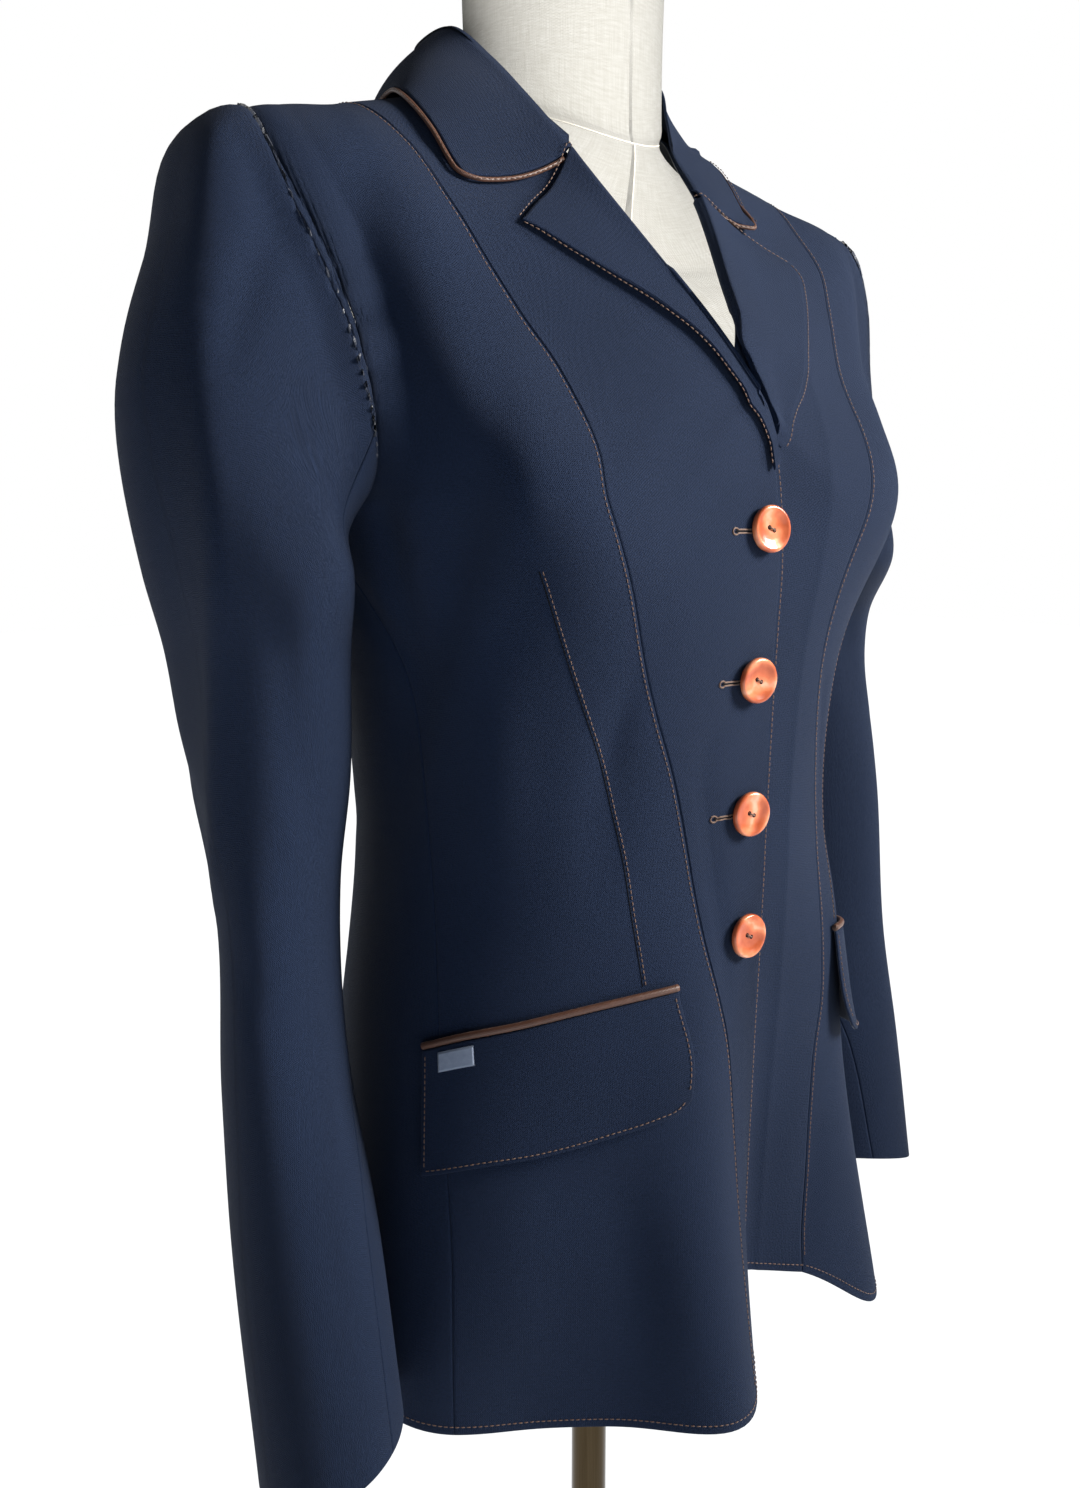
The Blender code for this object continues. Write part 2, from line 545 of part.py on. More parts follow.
# sleeve levels: height, centre x, centre y, half width inside and outside, half length, turn
SLEEVE_RIGHT = [(1.190, -.2090, .004, .0370, .0485, .062, 8),
                (1.154, -.1995, .012, .0355, .0470, .060, 20),
                (1.088, -.1930, .020, .0345, .0415, .056, 35),
                (1.036, -.1925, .020, .0275, .0290, .055, 41),
                (0.940, -.1960, .010, .0273, .0305, .052, 41),
                (0.877, -.1985, -.009, .0300, .0365, .048, 41),
                (0.773, -.2070, -.045, .0290, .0370, .045, 41)]
SLEEVE_LEFT = [(1.190, .2085, .022, .0370, .0390, .062, 8),
               (1.154, .1985, .030, .0355, .0370, .058, 20),
               (1.088, .1915, .020, .0345, .0360, .056, 35),
               (1.036, .1915, .011, .0275, .0285, .055, 41),
               (0.940, .1960, .001, .0273, .0290, .052, 41),
               (0.877, .1995, -.014, .0300, .0310, .048, 41),
               (0.788, .2050, -.030, .0273, .0310, .044, 41)]


def sleeve_points(side, psi, rows):
    """Sleeve skin; psi 0 top or outer, 90 front, 180 underarm, 270 back; row 0 armhole."""
    s = -1 if side == "right" else 1
    table = SLEEVE_RIGHT if side == "right" else SLEEVE_LEFT
    arm = np.array(ARMHOLE_FRONT[::-1] + [(98, 1.2195)] + ARMHOLE_BACK)
    k = np.concatenate([[0], np.cumsum(np.hypot(*(np.diff(arm, axis=0) / (400, 1)).T))])
    key = np.interp(k, [0, k[5], k[11], k[15], k[-1]], [0, 80, 180, 265, 360])
    loop = np.stack([spline(key, arm[:, j], psi % 360) for j in (0, 1)], -1)
    mid = np.array([88, 1.275])
    d = (mid - loop) * (1, 1)
    ln = np.hypot(d[:, 0] * .0030, d[:, 1])
    loop = loop + d / ln[:, None] * .0022
    a, _ = body(loop[:, 0] * s, loop[:, 1], .0007)
    c, q = np.cos(np.radians(psi)), np.sin(np.radians(psi))
    up = np.clip(c, 0, 1)
    cap = a + np.stack([s * (.0005 * up + .0032), -.005 * q, .0034 * up - .003], -1)
    mx, my, reach, tuck = (-.2115, .002, .0540, .0355) if side == "right" else (.2035, .030, .0485, .031)
    mz = a[:, 2] * .45 + 1.19 * .55
    m = np.stack([mx + s * np.where(c > 0, reach, tuck) * c, my - np.where(q > 0, .053, .064) * q,
                  mz], -1)
    ctrl = [a, cap, m]
    for z, cx, cy, near, far, hl, rot in table:
        b = np.radians(psi + rot)
        hw = np.where(np.cos(b) > 0, far, near)
        r = np.radians(rot)
        x = cx + s * (hw * np.cos(b) * np.cos(r) + hl * np.sin(b) * np.sin(r))
        y = cy + hw * np.cos(b) * np.sin(r) - hl * np.sin(b) * np.cos(r)
        tilt = CUFF_TILT * ((cy - y) * .66 - s * (x - cx) * .75) * (z < .8)
        ctrl.append(np.stack([x, y, z + tilt], -1))
    ctrl = np.stack(ctrl)
    step = np.linalg.norm(np.diff(ctrl, axis=0), axis=-1)
    out = np.empty((len(psi), len(rows), 3))
    for i in range(len(psi)):
        kn = np.concatenate([[0], np.cumsum(step[:, i])])
        kk = np.interp(rows, np.arange(len(kn)), kn)
        for j in range(3):
            out[i, :, j] = spline(kn, ctrl[:, i, j], kk)
    deep, level, high, way, wide = SLEEVE_DENT[side]
    dent = deep * bump(out[..., 2], level, high) * bump(psi, way, wide)[:, None]
    dent *= np.clip((np.asarray(rows) - .7) / .9, 0, 1)
    out -= dent[..., None] * np.array([s * .75, -.66 if side == "left" else .66, 0])
    return out


SLEEVE_SEAMS = (78.0, 238.0)
SLEEVE_ROWS = [0, .5, 1, 1.3, 1.65, 2, 2.35, 2.7, 3, 3.5, 4, 4.5, 5, 5.6, 6.2, 6.8, 7.4, 8, 8.5, 9]


def sleeve(side):
    s = -1 if side == "right" else 1
    front, back = SLEEVE_SEAMS
    for name, a0, a1, n in (("upper_sleeve_", back - 360, front, 14),
                            ("under_sleeve_", front, back, 11)):
        p = sleeve_points(side, np.linspace(a0, a1, n), SLEEVE_ROWS)
        ext = sleeve_points(side, np.linspace(a0 - (a1 - a0) / (n - 1), a1 + (a1 - a0) / (n - 1),
                                              n + 2), SLEEVE_ROWS)
        gn = grid_normals(ext)[1:-1]
        sheet(name + side, trimmed(p), gn * (s < 0 or -1), flip=s > 0)
        PANELS[name + side] = (None, p, gn)


# flap outlines as (angle, level), front to rear
FLAP_TOP = [(-17.5, .982), (-24, .980), (-37.5, .975), (-51.5, .968), (-66, .960), (-75, .953)]
FLAP_LOW = [(-15.3, .9285), (-17.3, .9225), (-21.5, .918), (-31.5, .911), (-44.5, .904), (-58.5, .899),
            (-72.5, .891)]
FLAP_TOP_LEFT = [(37, .981), (44, .979), (56, .974), (69, .967), (81, .960), (91, .954)]
FLAP_LOW_LEFT = [(36, .927), (38.5, .922), (44, .918), (56, .913), (69, .907), (81, .900), (91, .894)]


def flap(side):
    s = -1 if side == "right" else 1
    nu, nw = 12, 6
    u, w = np.linspace(0, 1, nu), np.linspace(0, 1, nw)
    top = along(FLAP_TOP if side == "right" else FLAP_TOP_LEFT, u)
    low = along(FLAP_LOW if side == "right" else FLAP_LOW_LEFT, u)
    bow = np.stack([np.sin(w ** 1.3 * np.pi) * 1.5, 0 * w], -1)
    front = top[0] * (1 - w[:, None]) + low[0] * w[:, None] - bow * s
    rear = top[-1] * (1 - w[:, None]) + low[-1] * w[:, None]
    low = low.copy()
    low[0] = front[-1]
    g = coons(front, rear, top, low)[:, ::-1]
    hang = .0034 + (.0016 if side == "right" else .009 * (1 - u[:, None]) ** 2) * w[None, ::-1] ** 1.3
    p, n = body(g[..., 0], g[..., 1], hang)
    sheet("flap_" + side, p, grid_normals(p) * (1 if s > 0 else -1), flip=s < 0, wall=.0018)
    PANELS["flap_" + side] = (g, p, n)
    line = top + (0, .0022)
    q, _ = body(line[:, 0], line[:, 1], .0024)
    tube("flap_piping_" + side, along(q, np.linspace(0, 1, 18)), .0018, PIPING, 6)


def tab():
    u, w = np.meshgrid(np.linspace(.92, .77, 5), (4.02, 4.80), indexing="ij")
    a = on_panel("flap_right", u, w)
    n = on_panel("flap_right", u, w, 1.0) - a
    sheet("flap_tab", a + n * .0011, n, TAB, wall=.0007)


def buttons():
    u, w = np.meshgrid(np.linspace(0, .6, 61), np.linspace(0, 15, 301), indexing="ij")
    skin = on_panel("front_right", u, w)
    nrm = on_panel("front_right", u, w, 1.0) - skin
    for k, v in enumerate(BUTTON_LEVELS):
        m = np.unravel_index(np.argmin(abs(skin[..., 0]) + abs(skin[..., 2] - v)), u.shape)
        z = nrm[m] / np.linalg.norm(nrm[m])
        x = np.cross([0, 0, 1.0], z)
        x /= np.linalg.norm(x)
        y = np.cross(z, x)
        q = np.linspace(0, 2 * np.pi, 20, endpoint=False)
        rim = skin[m] + BUTTON_RADIUS * (np.cos(q)[:, None] * x + np.sin(q)[:, None] * y)
        near = ((rim[:, None, None] - skin[None]) ** 2).sum(-1).reshape(len(q), -1).argmin(1)
        high = ((skin.reshape(-1, 3)[near] - skin[m]) @ z).max()
        c = skin[m] + z * (max(high, 0) + .0008)
        ring = []
        for r, h in ((.80, 0), (1.0, .0012), (1.0, .0030), (.90, .0040), (.70, .0033)):
            ring.append(c + BUTTON_RADIUS * r * (np.cos(q)[:, None] * x + np.sin(q)[:, None] * y)
                        + z * h)
        rings("button_%d" % (k + 1), np.stack(ring), BUTTON)


def form():
    q = np.arange(0, 360, 18.0)
    levels = [.800, .812, .86, .92, .98, 1.04, 1.10, 1.15, 1.19, 1.225, 1.26, 1.29, 1.318, 1.342,
              1.366, 1.388]
    ring = []
    for k, v in enumerate(levels):
        seat = bump(v, 1.362, .018) * np.exp(-((abs(q - 180) - 90) / 15) ** 2)
        inset = FORM_INSET + (0 if k else .006) + (.006 if v > 1.38 else 0)
        p, _ = body(q, v, (FORM_INSET - SEAT) * seat - inset, None)
        hip = min(1, max(0, (1.0 - v) / .2))
        p[:, 0] *= 1 - .07 * hip
        p[:, 1] *= 1 - .24 * hip
        if k == 0:
            p[:, 2] = FORM_BOTTOM
        c = np.sin(np.radians(q))
        p[:, 0] -= np.sign(c) * c ** 4 * .012 * bump(v, 1.32, .03)
        ring.append(p)
    c, s = np.cos(np.radians(q)), np.sin(np.radians(q))
    for hf, hs, hb, r in ((1.396, 1.413, 1.408, .0555), (1.410, 1.428, 1.425, .0535),
                          (1.440, 1.446, 1.447, .0532), (1.470, 1.470, 1.470, .0535),
                          (NECK_TOP, NECK_TOP, NECK_TOP, NECK_RADIUS)):
        h = hs + (np.where(c > 0, hf, hb) - hs) * c * c
        ring.append(np.stack([s * r, NECK_Y - c * r, h], -1))
    rings("form_torso", np.stack(ring), LINEN)
    ring = []
    for h, r in ((.0004, NECK_RADIUS), (.003, NECK_RADIUS), (.006, NECK_RADIUS - .006),
                 (.008, NECK_RADIUS - .025)):
        ring.append(np.stack([s * r, NECK_Y - c * r, NECK_TOP + h + 0 * s], -1))
    rings("form_neck_cap", np.stack(ring), LINEN)
    q = np.radians(np.arange(0, 360, 15.0))
    ring = [np.stack([np.cos(q) * r, np.sin(q) * r, h + 0 * q], -1)
            for r, h in ((POLE_RADIUS, .0264), (POLE_RADIUS, FORM_BOTTOM - .0004))]
    rings("form_pole", np.stack(ring), CHROME)
    q = np.radians(np.arange(0, 360, 11.25))
    ring = [np.stack([np.cos(q) * r, np.sin(q) * r, h + 0 * q], -1)
            for r, h in ((FOOT_RADIUS, 0), (FOOT_RADIUS, .010), (FOOT_RADIUS - .006, .014),
                         (.03, .020), (.018, .026))]
    rings("form_foot", np.stack(ring), PAINT)


for SIDE in ("right", "left"):
    front_panel(SIDE)
    side_front(SIDE)
    side_panel(SIDE)
    back_panel(SIDE)
    lapel(SIDE)
    sleeve(SIDE)
    flap(SIDE)
collar()
tab()
buttons()
form()
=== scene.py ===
import json

import bpy
import numpy as np
from mathutils import Matrix, Vector, kdtree

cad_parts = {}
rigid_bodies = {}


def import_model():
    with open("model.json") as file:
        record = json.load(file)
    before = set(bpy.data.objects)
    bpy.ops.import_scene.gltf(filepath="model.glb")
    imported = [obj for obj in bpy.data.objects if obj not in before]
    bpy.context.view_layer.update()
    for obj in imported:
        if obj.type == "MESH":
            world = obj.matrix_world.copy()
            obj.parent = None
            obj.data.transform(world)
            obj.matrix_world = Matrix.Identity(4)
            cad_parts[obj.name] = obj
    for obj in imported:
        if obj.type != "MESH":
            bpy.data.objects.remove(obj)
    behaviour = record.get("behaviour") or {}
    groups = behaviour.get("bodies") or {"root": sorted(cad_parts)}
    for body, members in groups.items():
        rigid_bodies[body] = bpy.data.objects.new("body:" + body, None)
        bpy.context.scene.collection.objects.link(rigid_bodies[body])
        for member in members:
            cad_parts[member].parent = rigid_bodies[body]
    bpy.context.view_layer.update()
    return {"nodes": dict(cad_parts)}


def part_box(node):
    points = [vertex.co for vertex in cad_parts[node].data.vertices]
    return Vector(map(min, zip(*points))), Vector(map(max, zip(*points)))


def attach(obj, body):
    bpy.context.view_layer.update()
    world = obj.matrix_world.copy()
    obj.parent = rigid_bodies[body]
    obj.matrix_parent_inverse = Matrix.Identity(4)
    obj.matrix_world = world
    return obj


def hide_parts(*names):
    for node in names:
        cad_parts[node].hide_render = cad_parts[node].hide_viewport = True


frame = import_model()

scene = bpy.context.scene
print("frame:", len(frame["nodes"]), "nodes")

# the photo's camera: degrees, the focal length and width in its pixels, and places in metres
shot = {"turn": 41.2, "pitch": 9.3, "focal": 1400.0, "wide": 1080, "back": .781, "aside": .030,
        "high": 1.215}


def placeCamera():
    turn, pitch = np.radians(shot["turn"]), np.radians(shot["pitch"])
    right = Vector((np.cos(turn), -np.sin(turn), 0))
    ahead = Vector((np.sin(turn), np.cos(turn), 0))
    look = ahead * np.cos(pitch) - Vector((0, 0, 1)) * np.sin(pitch)
    up = right.cross(look)
    eye = ahead * -shot["back"] - right * shot["aside"] + Vector((0, 0, shot["high"]))
    data = bpy.data.cameras.new("camera")
    data.sensor_fit = "HORIZONTAL"
    data.sensor_width = 36
    data.lens = shot["focal"] / shot["wide"] * data.sensor_width
    data.clip_start = .02
    camera = bpy.data.objects.new("camera", data)
    scene.collection.objects.link(camera)
    turned = Matrix((right, up, -look)).transposed().to_4x4()
    camera.matrix_world = Matrix.Translation(eye) @ turned
    scene.camera = camera


placeCamera()

aim = Vector((-.02, 0, 1.36))
lamps = {  # each lights one group: the part without the form's linen, that linen, or the floor
    "window": dict(group="jacket", place=(1.40, -1.60, 2.15), size=.9, energy=17.5,
                   color=(1.0, .965, .92), spread=np.radians(56)),
    "fill": dict(group="jacket", place=(-.9, -2.2, .55), size=1.5, energy=8, color=(.40, .66, 1.0)),
    "behind": dict(group="jacket", place=(-.3, 2.4, 2.1), size=1.8, energy=9,
                   color=(.97, .98, 1.0)),
    "formFill": dict(group="form", place=(-.75, -2.4, 2.0), size=1.8, energy=150),
    "overFloor": dict(group="floor", energy=3.9, angle=1.2)}
litGroups = {key: bpy.data.collections.new(key + "Lit") for key in ("jacket", "form", "floor")}


def addLamp(name, group, place=None, **settings):
    data = bpy.data.lights.new(name, "AREA" if place else "SUN")
    for key, value in settings.items():
        setattr(data, key, value)
    lamp = bpy.data.objects.new(name, data)
    scene.collection.objects.link(lamp)
    if place:
        lamp.location = place
        lamp.rotation_euler = (aim - lamp.location).to_track_quat("-Z", "Y").to_euler()
    lamp.light_linking.receiver_collection = litGroups[group]
    if group == "form":  # the jacket throws no shadow on the form in this light
        lamp.light_linking.blocker_collection = litGroups[group]


for name, settings in lamps.items():
    addLamp(name, **settings)

# a white room that gives little light of its own
world = bpy.data.worlds.new("room")
scene.world = world
world.use_nodes = True
air = world.node_tree
backdrop = air.nodes["Background"]
backdrop.inputs["Color"].default_value = (1, 1, 1, 1)
seen = air.nodes.new("ShaderNodeLightPath")
level = air.nodes.new("ShaderNodeMapRange")
level.inputs["To Min"].default_value = .055  # what the room lights the part with
level.inputs["To Max"].default_value = 1.0   # what the camera sees behind it
air.links.new(seen.outputs["Is Camera Ray"], level.inputs["Value"])
air.links.new(level.outputs["Result"], backdrop.inputs["Strength"])
scene.view_settings.view_transform = "Standard"
print("camera and lights placed")


class Wire:  # a socket that takes part in sums
    def __init__(self, tree, socket):
        self.tree, self.socket = tree, socket

    def math(self, operation, other=None, swap=False):
        node = self.tree.nodes.new("ShaderNodeMath")
        node.operation = operation
        pair = (other, self) if swap else (self, other)
        for slot, item in zip(node.inputs, pair):
            if isinstance(item, Wire):
                self.tree.links.new(item.socket, slot)
            elif item is not None:
                slot.default_value = item
        return Wire(self.tree, node.outputs[0])

    def __add__(self, other):
        return self.math("ADD", other)

    def __sub__(self, other):
        return self.math("SUBTRACT", other)

    def __rsub__(self, other):
        return self.math("SUBTRACT", other, True)

    def __mul__(self, other):
        return self.math("MULTIPLY", other)

    __radd__, __rmul__ = __add__, __mul__


class Finish:  # one material and the nodes that feed its shader
    def __init__(self, name, **fixed):
        self.material = bpy.data.materials.new(name)
        self.material.use_nodes = True
        self.tree = self.material.node_tree
        self.shader = self.tree.nodes["Principled BSDF"]
        for key, value in fixed.items():
            self.shader.inputs[key.replace("_", " ")].default_value = value

    def node(self, kind, settings=(), sockets=(), output=0):
        made = self.tree.nodes.new("ShaderNode" + kind)
        for key, value in dict(settings).items():
            if key == "stops":
                ramp = made.color_ramp
                while len(ramp.elements) < len(value):
                    ramp.elements.new(.5)
                for element, (place, colour) in zip(ramp.elements, value):
                    element.position = place
                    element.color = (*colour, 1)
            else:
                setattr(made, key, value)
        for key, value in dict(sockets).items():
            self.feed(made.inputs[key], value)
        return Wire(self.tree, made.outputs[output])

    def feed(self, socket, value):
        if isinstance(value, Wire):
            self.tree.links.new(value.socket, socket)
        else:
            socket.default_value = value

    def mix(self, factor, first, second):
        colours = {k: v if isinstance(v, Wire) else (*v, 1) for k, v in ((6, first), (7, second))}
        return self.node("Mix", {"data_type": "RGBA"}, {0: factor, **colours}, 2)

    def noise(self, place, scale, detail=2.0, rough=.5):
        return self.node("TexNoise", (), {"Vector": place, "Scale": scale, "Detail": detail,
                                          "Roughness": rough})

    def cloth(self):
        place = self.node("UVMap", {"uv_map": "cloth"})
        return (place,) + tuple(self.node("SeparateXYZ", (), {0: place}, k) for k in (0, 1))

    def bump(self, height, depth):
        normal = self.node("Bump", (), {"Height": height, "Distance": depth, "Strength": 1.0})
        self.feed(self.shader.inputs["Normal"], normal)

    def set(self, **links):
        for key, value in links.items():
            self.feed(self.shader.inputs[key.replace("_", " ")], value)
        return self.material


def threads(finish, pitch):  # a plain weave: place, checks and diagonal ribs
    place, across, up = finish.cloth()
    warp = (across * (2 * np.pi / pitch)).math("SINE")
    weft = (up * (2 * np.pi / pitch)).math("SINE")
    return place, warp * weft, (warp - weft) * .5


def woolFinish(name, low, high, sheen):
    f = Finish(name, Sheen_Weight=sheen, Sheen_Roughness=.42, Sheen_Tint=(.92, .95, 1.0, 1),
               Specular_IOR_Level=.09)
    place, checks, ribs = threads(f, .00092)
    fuzz = f.noise(place, 900, 3, .65)
    patch = f.noise(place, 14, 3, .55)
    shade = (fuzz - .5) * 1.9 + patch * .35 + .32 + checks * .12 + ribs * .08
    f.set(Base_Color=f.mix(shade, low, high), Roughness=fuzz * .16 + .70)
    f.bump(checks * .5 + ribs * .3 + fuzz * 2.2, .00030)
    return f.material


def wovenFinish(name, pitch, patches, low, high, rough, raised, depth, **fixed):
    f = Finish(name, **fixed)
    place, checks, ribs = threads(f, pitch)
    patch = f.noise(place, *patches)
    f.set(Base_Color=f.mix(patch, low, high), Roughness=patch * rough[0] + rough[1])
    f.bump({"ribs": ribs, "ribsPatch": ribs + patch, "checksPatch": checks + patch}[raised], depth)
    return f.material


def grainFinish(name, scale, detail, low, high, rough, depth=0, **fixed):
    f = Finish(name, **fixed)
    grain = f.noise(f.node("TexCoord", (), (), 3), scale, detail)
    if depth:
        f.bump(grain, depth)
    return f.set(Base_Color=f.mix(grain, low, high), Roughness=grain * rough[0] + rough[1])


def linenFinish():
    f = Finish("creamLinen", Sheen_Weight=.12, Specular_IOR_Level=.2)
    place, checks, ribs = threads(f, .0013)
    slub = f.noise(f.node("Mapping", (), {"Vector": place, "Scale": (60, 900, 1)}), 1, 3)
    slubUp = f.noise(f.node("Mapping", (), {"Vector": place, "Scale": (900, 60, 1)}), 1, 3)
    patch = f.noise(place, 9, 2)
    grain = slub * .5 + slubUp * .5
    base = f.mix(patch, (.62, .61, .57), (.67, .66, .62))
    f.set(Base_Color=f.mix((grain - .30) * 1.6 + checks * .40, (.42, .40, .35), base),
          Roughness=grain * .2 + .75)
    f.bump(checks * .5 + grain * .9, .00035)
    return f.material


def pearlFinish(name, turn, seed):
    f = Finish(name, Coat_Roughness=.10, Specular_IOR_Level=.45)
    place = f.node("UVMap", {"uv_map": "cloth"})
    turned = f.node("Mapping", (), {"Vector": place, "Rotation": (0, 0, turn),
                                    "Location": (seed, seed * .7, 0)})
    drift = f.noise(turned, 90, 3, .6)
    bands = f.node("TexWave", {"wave_type": "BANDS", "bands_direction": "DIAGONAL"},
                   {"Vector": turned, "Scale": 34, "Distortion": 5.5, "Detail": 3.0,
                    "Detail Scale": 1.2}, 1)
    amber = f.node("ValToRGB", {"stops": [(0, (.30, .050, .016)), (.42, (.52, .120, .045)),
                                          (.70, (.72, .225, .10)), (.90, (.90, .48, .34)),
                                          (1, (.94, .74, .68))]},
                   {"Fac": bands * .62 + drift * .5 - .10})
    f.set(Base_Color=amber, Metallic=bands * .18, Roughness=drift * .15 + .16,
          Coat_Weight=drift * .3 + .15)
    f.bump(bands * .5 + drift, .0002)
    return f.material


# chrome for the pole, with a dark brown base colour that paints in the reflection of a dark room
def metalFinish():
    f = Finish("poleChromeDarkReflection", Metallic=1.0)
    place = f.node("UVMap", {"uv_map": "cloth"})
    brushed = f.noise(f.node("Mapping", (), {"Vector": place, "Scale": (900, 12, 1)}), 1, 3)
    f.set(Base_Color=f.mix(brushed, (.040, .028, .014), (.090, .066, .038)),
          Roughness=brushed * .12 + .16)
    f.bump(brushed, .00002)
    return f.material


wool = woolFinish("navyWool", (.0060, .0116, .0280), (.0140, .0255, .0600), .04)
lining = wovenFinish("navyLining", .0011, (30, 3), (.010, .014, .026), (.022, .030, .052),
                     (.2, .32), "ribs", .00005, Sheen_Weight=.2, Specular_IOR_Level=.5)
linen, chrome = linenFinish(), metalFinish()
linenEdge = grainFinish("linenEdge", 1800, 2, (.40, .37, .31), (.58, .55, .48), (.2, .7),
                        Specular_IOR_Level=.2)
thread = grainFinish("brownThread", 2600, 1, (.080, .038, .022), (.18, .092, .055), (.2, .5), .0001,
                     Specular_IOR_Level=.4, Sheen_Weight=.3)
paint = grainFinish("footBlack", 1400, 2, (.014, .014, .015), (.03, .03, .032), (.2, .38), .0001,
                    Specular_IOR_Level=.5)
# near-black painted shade, used inside the button holes, in the buttonhole slits and along the
# darts
paintedShade = grainFinish("slitPaintedShade", 900, 2, (.002, .002, .003), (.006, .007, .010), (.2, .7),
                   Specular_IOR_Level=.1)
pale = grainFinish("paleFloor", 40, 3, (.83, .84, .85), (.87, .88, .89), (.1, .75),
                   Specular_IOR_Level=.2)
piping = wovenFinish("brownPiping", .0007, (160, 3), (.055, .021, .011), (.125, .052, .030),
                     (.15, .34), "ribsPatch", .00006, Specular_IOR_Level=.6, Sheen_Weight=.1,
                     Sheen_Roughness=.3, Sheen_Tint=(1, .72, .60, 1))
tabWeave = wovenFinish("greyTab", .0006, (400, 2), (.17, .21, .30), (.27, .32, .42), (.2, .5),
                       "checksPatch", .00008, Sheen_Weight=.2)
print("finishes made")

# a place on the garment's skin is an angle t (0 centre front, + the wearer's left) and a level v
# level, half width, front, back, offset, height at the front, side and back, squareness
bodyLevels = np.array([
    (0.700, .170, .120, .138, .000, 0.700, 0.700, 0.700, 2.15),
    (0.760, .166, .118, .134, .000, 0.760, 0.760, 0.760, 2.15),
    (0.850, .158, .114, .128, .000, 0.850, 0.850, 0.850, 2.15),
    (0.950, .148, .113, .120, .000, 0.950, 0.950, 0.950, 2.15),
    (1.060, .139, .113, .113, .000, 1.060, 1.060, 1.060, 2.15),
    (1.130, .148, .115, .110, .000, 1.130, 1.130, 1.130, 2.20),
    (1.200, .167, .116, .114, .000, 1.200, 1.200, 1.200, 2.30),
    (1.250, .184, .104, .119, .002, 1.250, 1.250, 1.250, 2.50),
    (1.290, .193, .085, .120, .008, 1.288, 1.299, 1.292, 2.70),
    (1.340, .205, .060, .114, .017, 1.328, 1.384, 1.348, 2.50),
    (1.380, .152, .043, .109, .020, 1.350, 1.403, 1.386, 2.10),
    (1.410, .108, .030, .104, .022, 1.376, 1.416, 1.410, 2.00),
    (1.430, .070, .018, .097, .026, 1.398, 1.430, 1.425, 2.00)])
jacket = {"wall": .0015, "underlap": .0042, "breakLevel": 1.252, "shoulderTilt": .010,
          "ventTop": 1.000, "upFine": 6, "acrossFine": 8, "across": 49, "creaseFrom": .004,
          "creaseFull": .016}
signs = {"right": -1, "left": 1}  # of x and of the angle t on the wearer's two sides


def smooth(xs, ys, x):  # a smooth curve through the points (xs, ys), at x
    xs, ys, x = (np.asarray(a, float) for a in (xs, ys, x))
    gap = np.diff(xs).reshape((-1,) + (1,) * (ys.ndim - 1))
    slope = np.diff(ys, axis=0) / gap
    inner = (slope[:-1] * gap[1:] + slope[1:] * gap[:-1]) / (gap[1:] + gap[:-1])
    tangent = np.concatenate([slope[:1], inner, slope[-1:]])
    place = np.clip(x, xs[0], xs[-1])
    i = np.clip(np.searchsorted(xs, place, side="right") - 1, 0, len(xs) - 2)
    h = np.diff(xs)[i]
    t = (place - xs[i]) / h
    if ys.ndim > 1:
        h, t = (a.reshape(a.shape + (1,) * (ys.ndim - 1)) for a in (h, t))
    return ((2 * t**3 - 3 * t**2 + 1) * ys[i] + (t**3 - 2 * t**2 + t) * h * tangent[i]
            + (3 * t**2 - 2 * t**3) * ys[i + 1] + (t**3 - t**2) * h * tangent[i + 1])


def unit(v):
    return v / (np.linalg.norm(v, axis=-1, keepdims=True) + 1e-12)


def hill(x, centre, width):  # a soft bump of height 1
    return np.exp(-((x - centre) / width) ** 2)


bustShape = {"high": .020, "angle": 37, "wide": 20, "level": 1.225, "tall": .052}


def bust(t, v):
    high, angle, wide, level, tall = bustShape.values()
    return high * (hill(t, -angle, wide) + hill(t, angle, wide)) * hill(v, level, tall)


# centre angle and its drift further down, width in degrees, height in metres (+ out)
hemFolds = [(-13, 4.6, 13, .035), (11, 0, 12, -.027), (42, 0, 15, .028), (-44, 0, 14, -.006),
            (-74, 0, 14, .005), (80, 0, 14, .005), (-140, 0, 16, .009), (136, 0, 15, .010),
            (178, 0, 14, .006), (-182, 0, 14, .006)]


def folds(t, v):
    k = np.clip((1.035 - v) / .275, 0, 1.25) ** 1.2
    waves = sum(high * hill(t, at + drift * k, wide) for at, drift, wide, high in hemFolds)
    return k * waves + .009 * hill(t, 62, 30) * hill(v, .99, .06)


def skin(t, v, out=0.0, shaped=True):  # points on the jacket's outer face, and normals
    t, v = np.broadcast_arrays(np.asarray(t, float), np.asarray(v, float))

    def base(t, v):
        ring = smooth(bodyLevels[:, 0], bodyLevels[:, 1:], v)
        a, f, b, ys, zf, zs, zb, n = np.moveaxis(ring, -1, 0)
        c, s = np.cos(np.radians(t)), np.sin(np.radians(t))
        front = c >= 0
        fy, by = f + ys, b - ys
        x = np.sign(s) * a * np.abs(s) ** (2 / n)
        y = ys + np.where(front, -fy, by) * np.abs(c) ** (2 / n)
        z = np.where(front, zf, zb) * (1 - s * s) + zs * s * s
        z = z - jacket["shoulderTilt"] * x * np.clip((v - 1.30) / .05, 0, 1)
        turn = (t + 180) % 360 - 180
        g = bust(turn, v) + (folds(turn, v) if shaped else 0)
        nx, ny = x / a**2, (y - ys) / (fy * by)
        ln = np.hypot(nx, ny) + 1e-9
        return np.stack([x + nx / ln * g, y + ny / ln * g, z], -1)

    p = base(t, v)
    n = unit(np.cross(base(t + .4, v) - base(t - .4, v), base(t, v + .0015) - base(t, v - .0015)))
    return p + n * np.asarray(out)[..., None], n


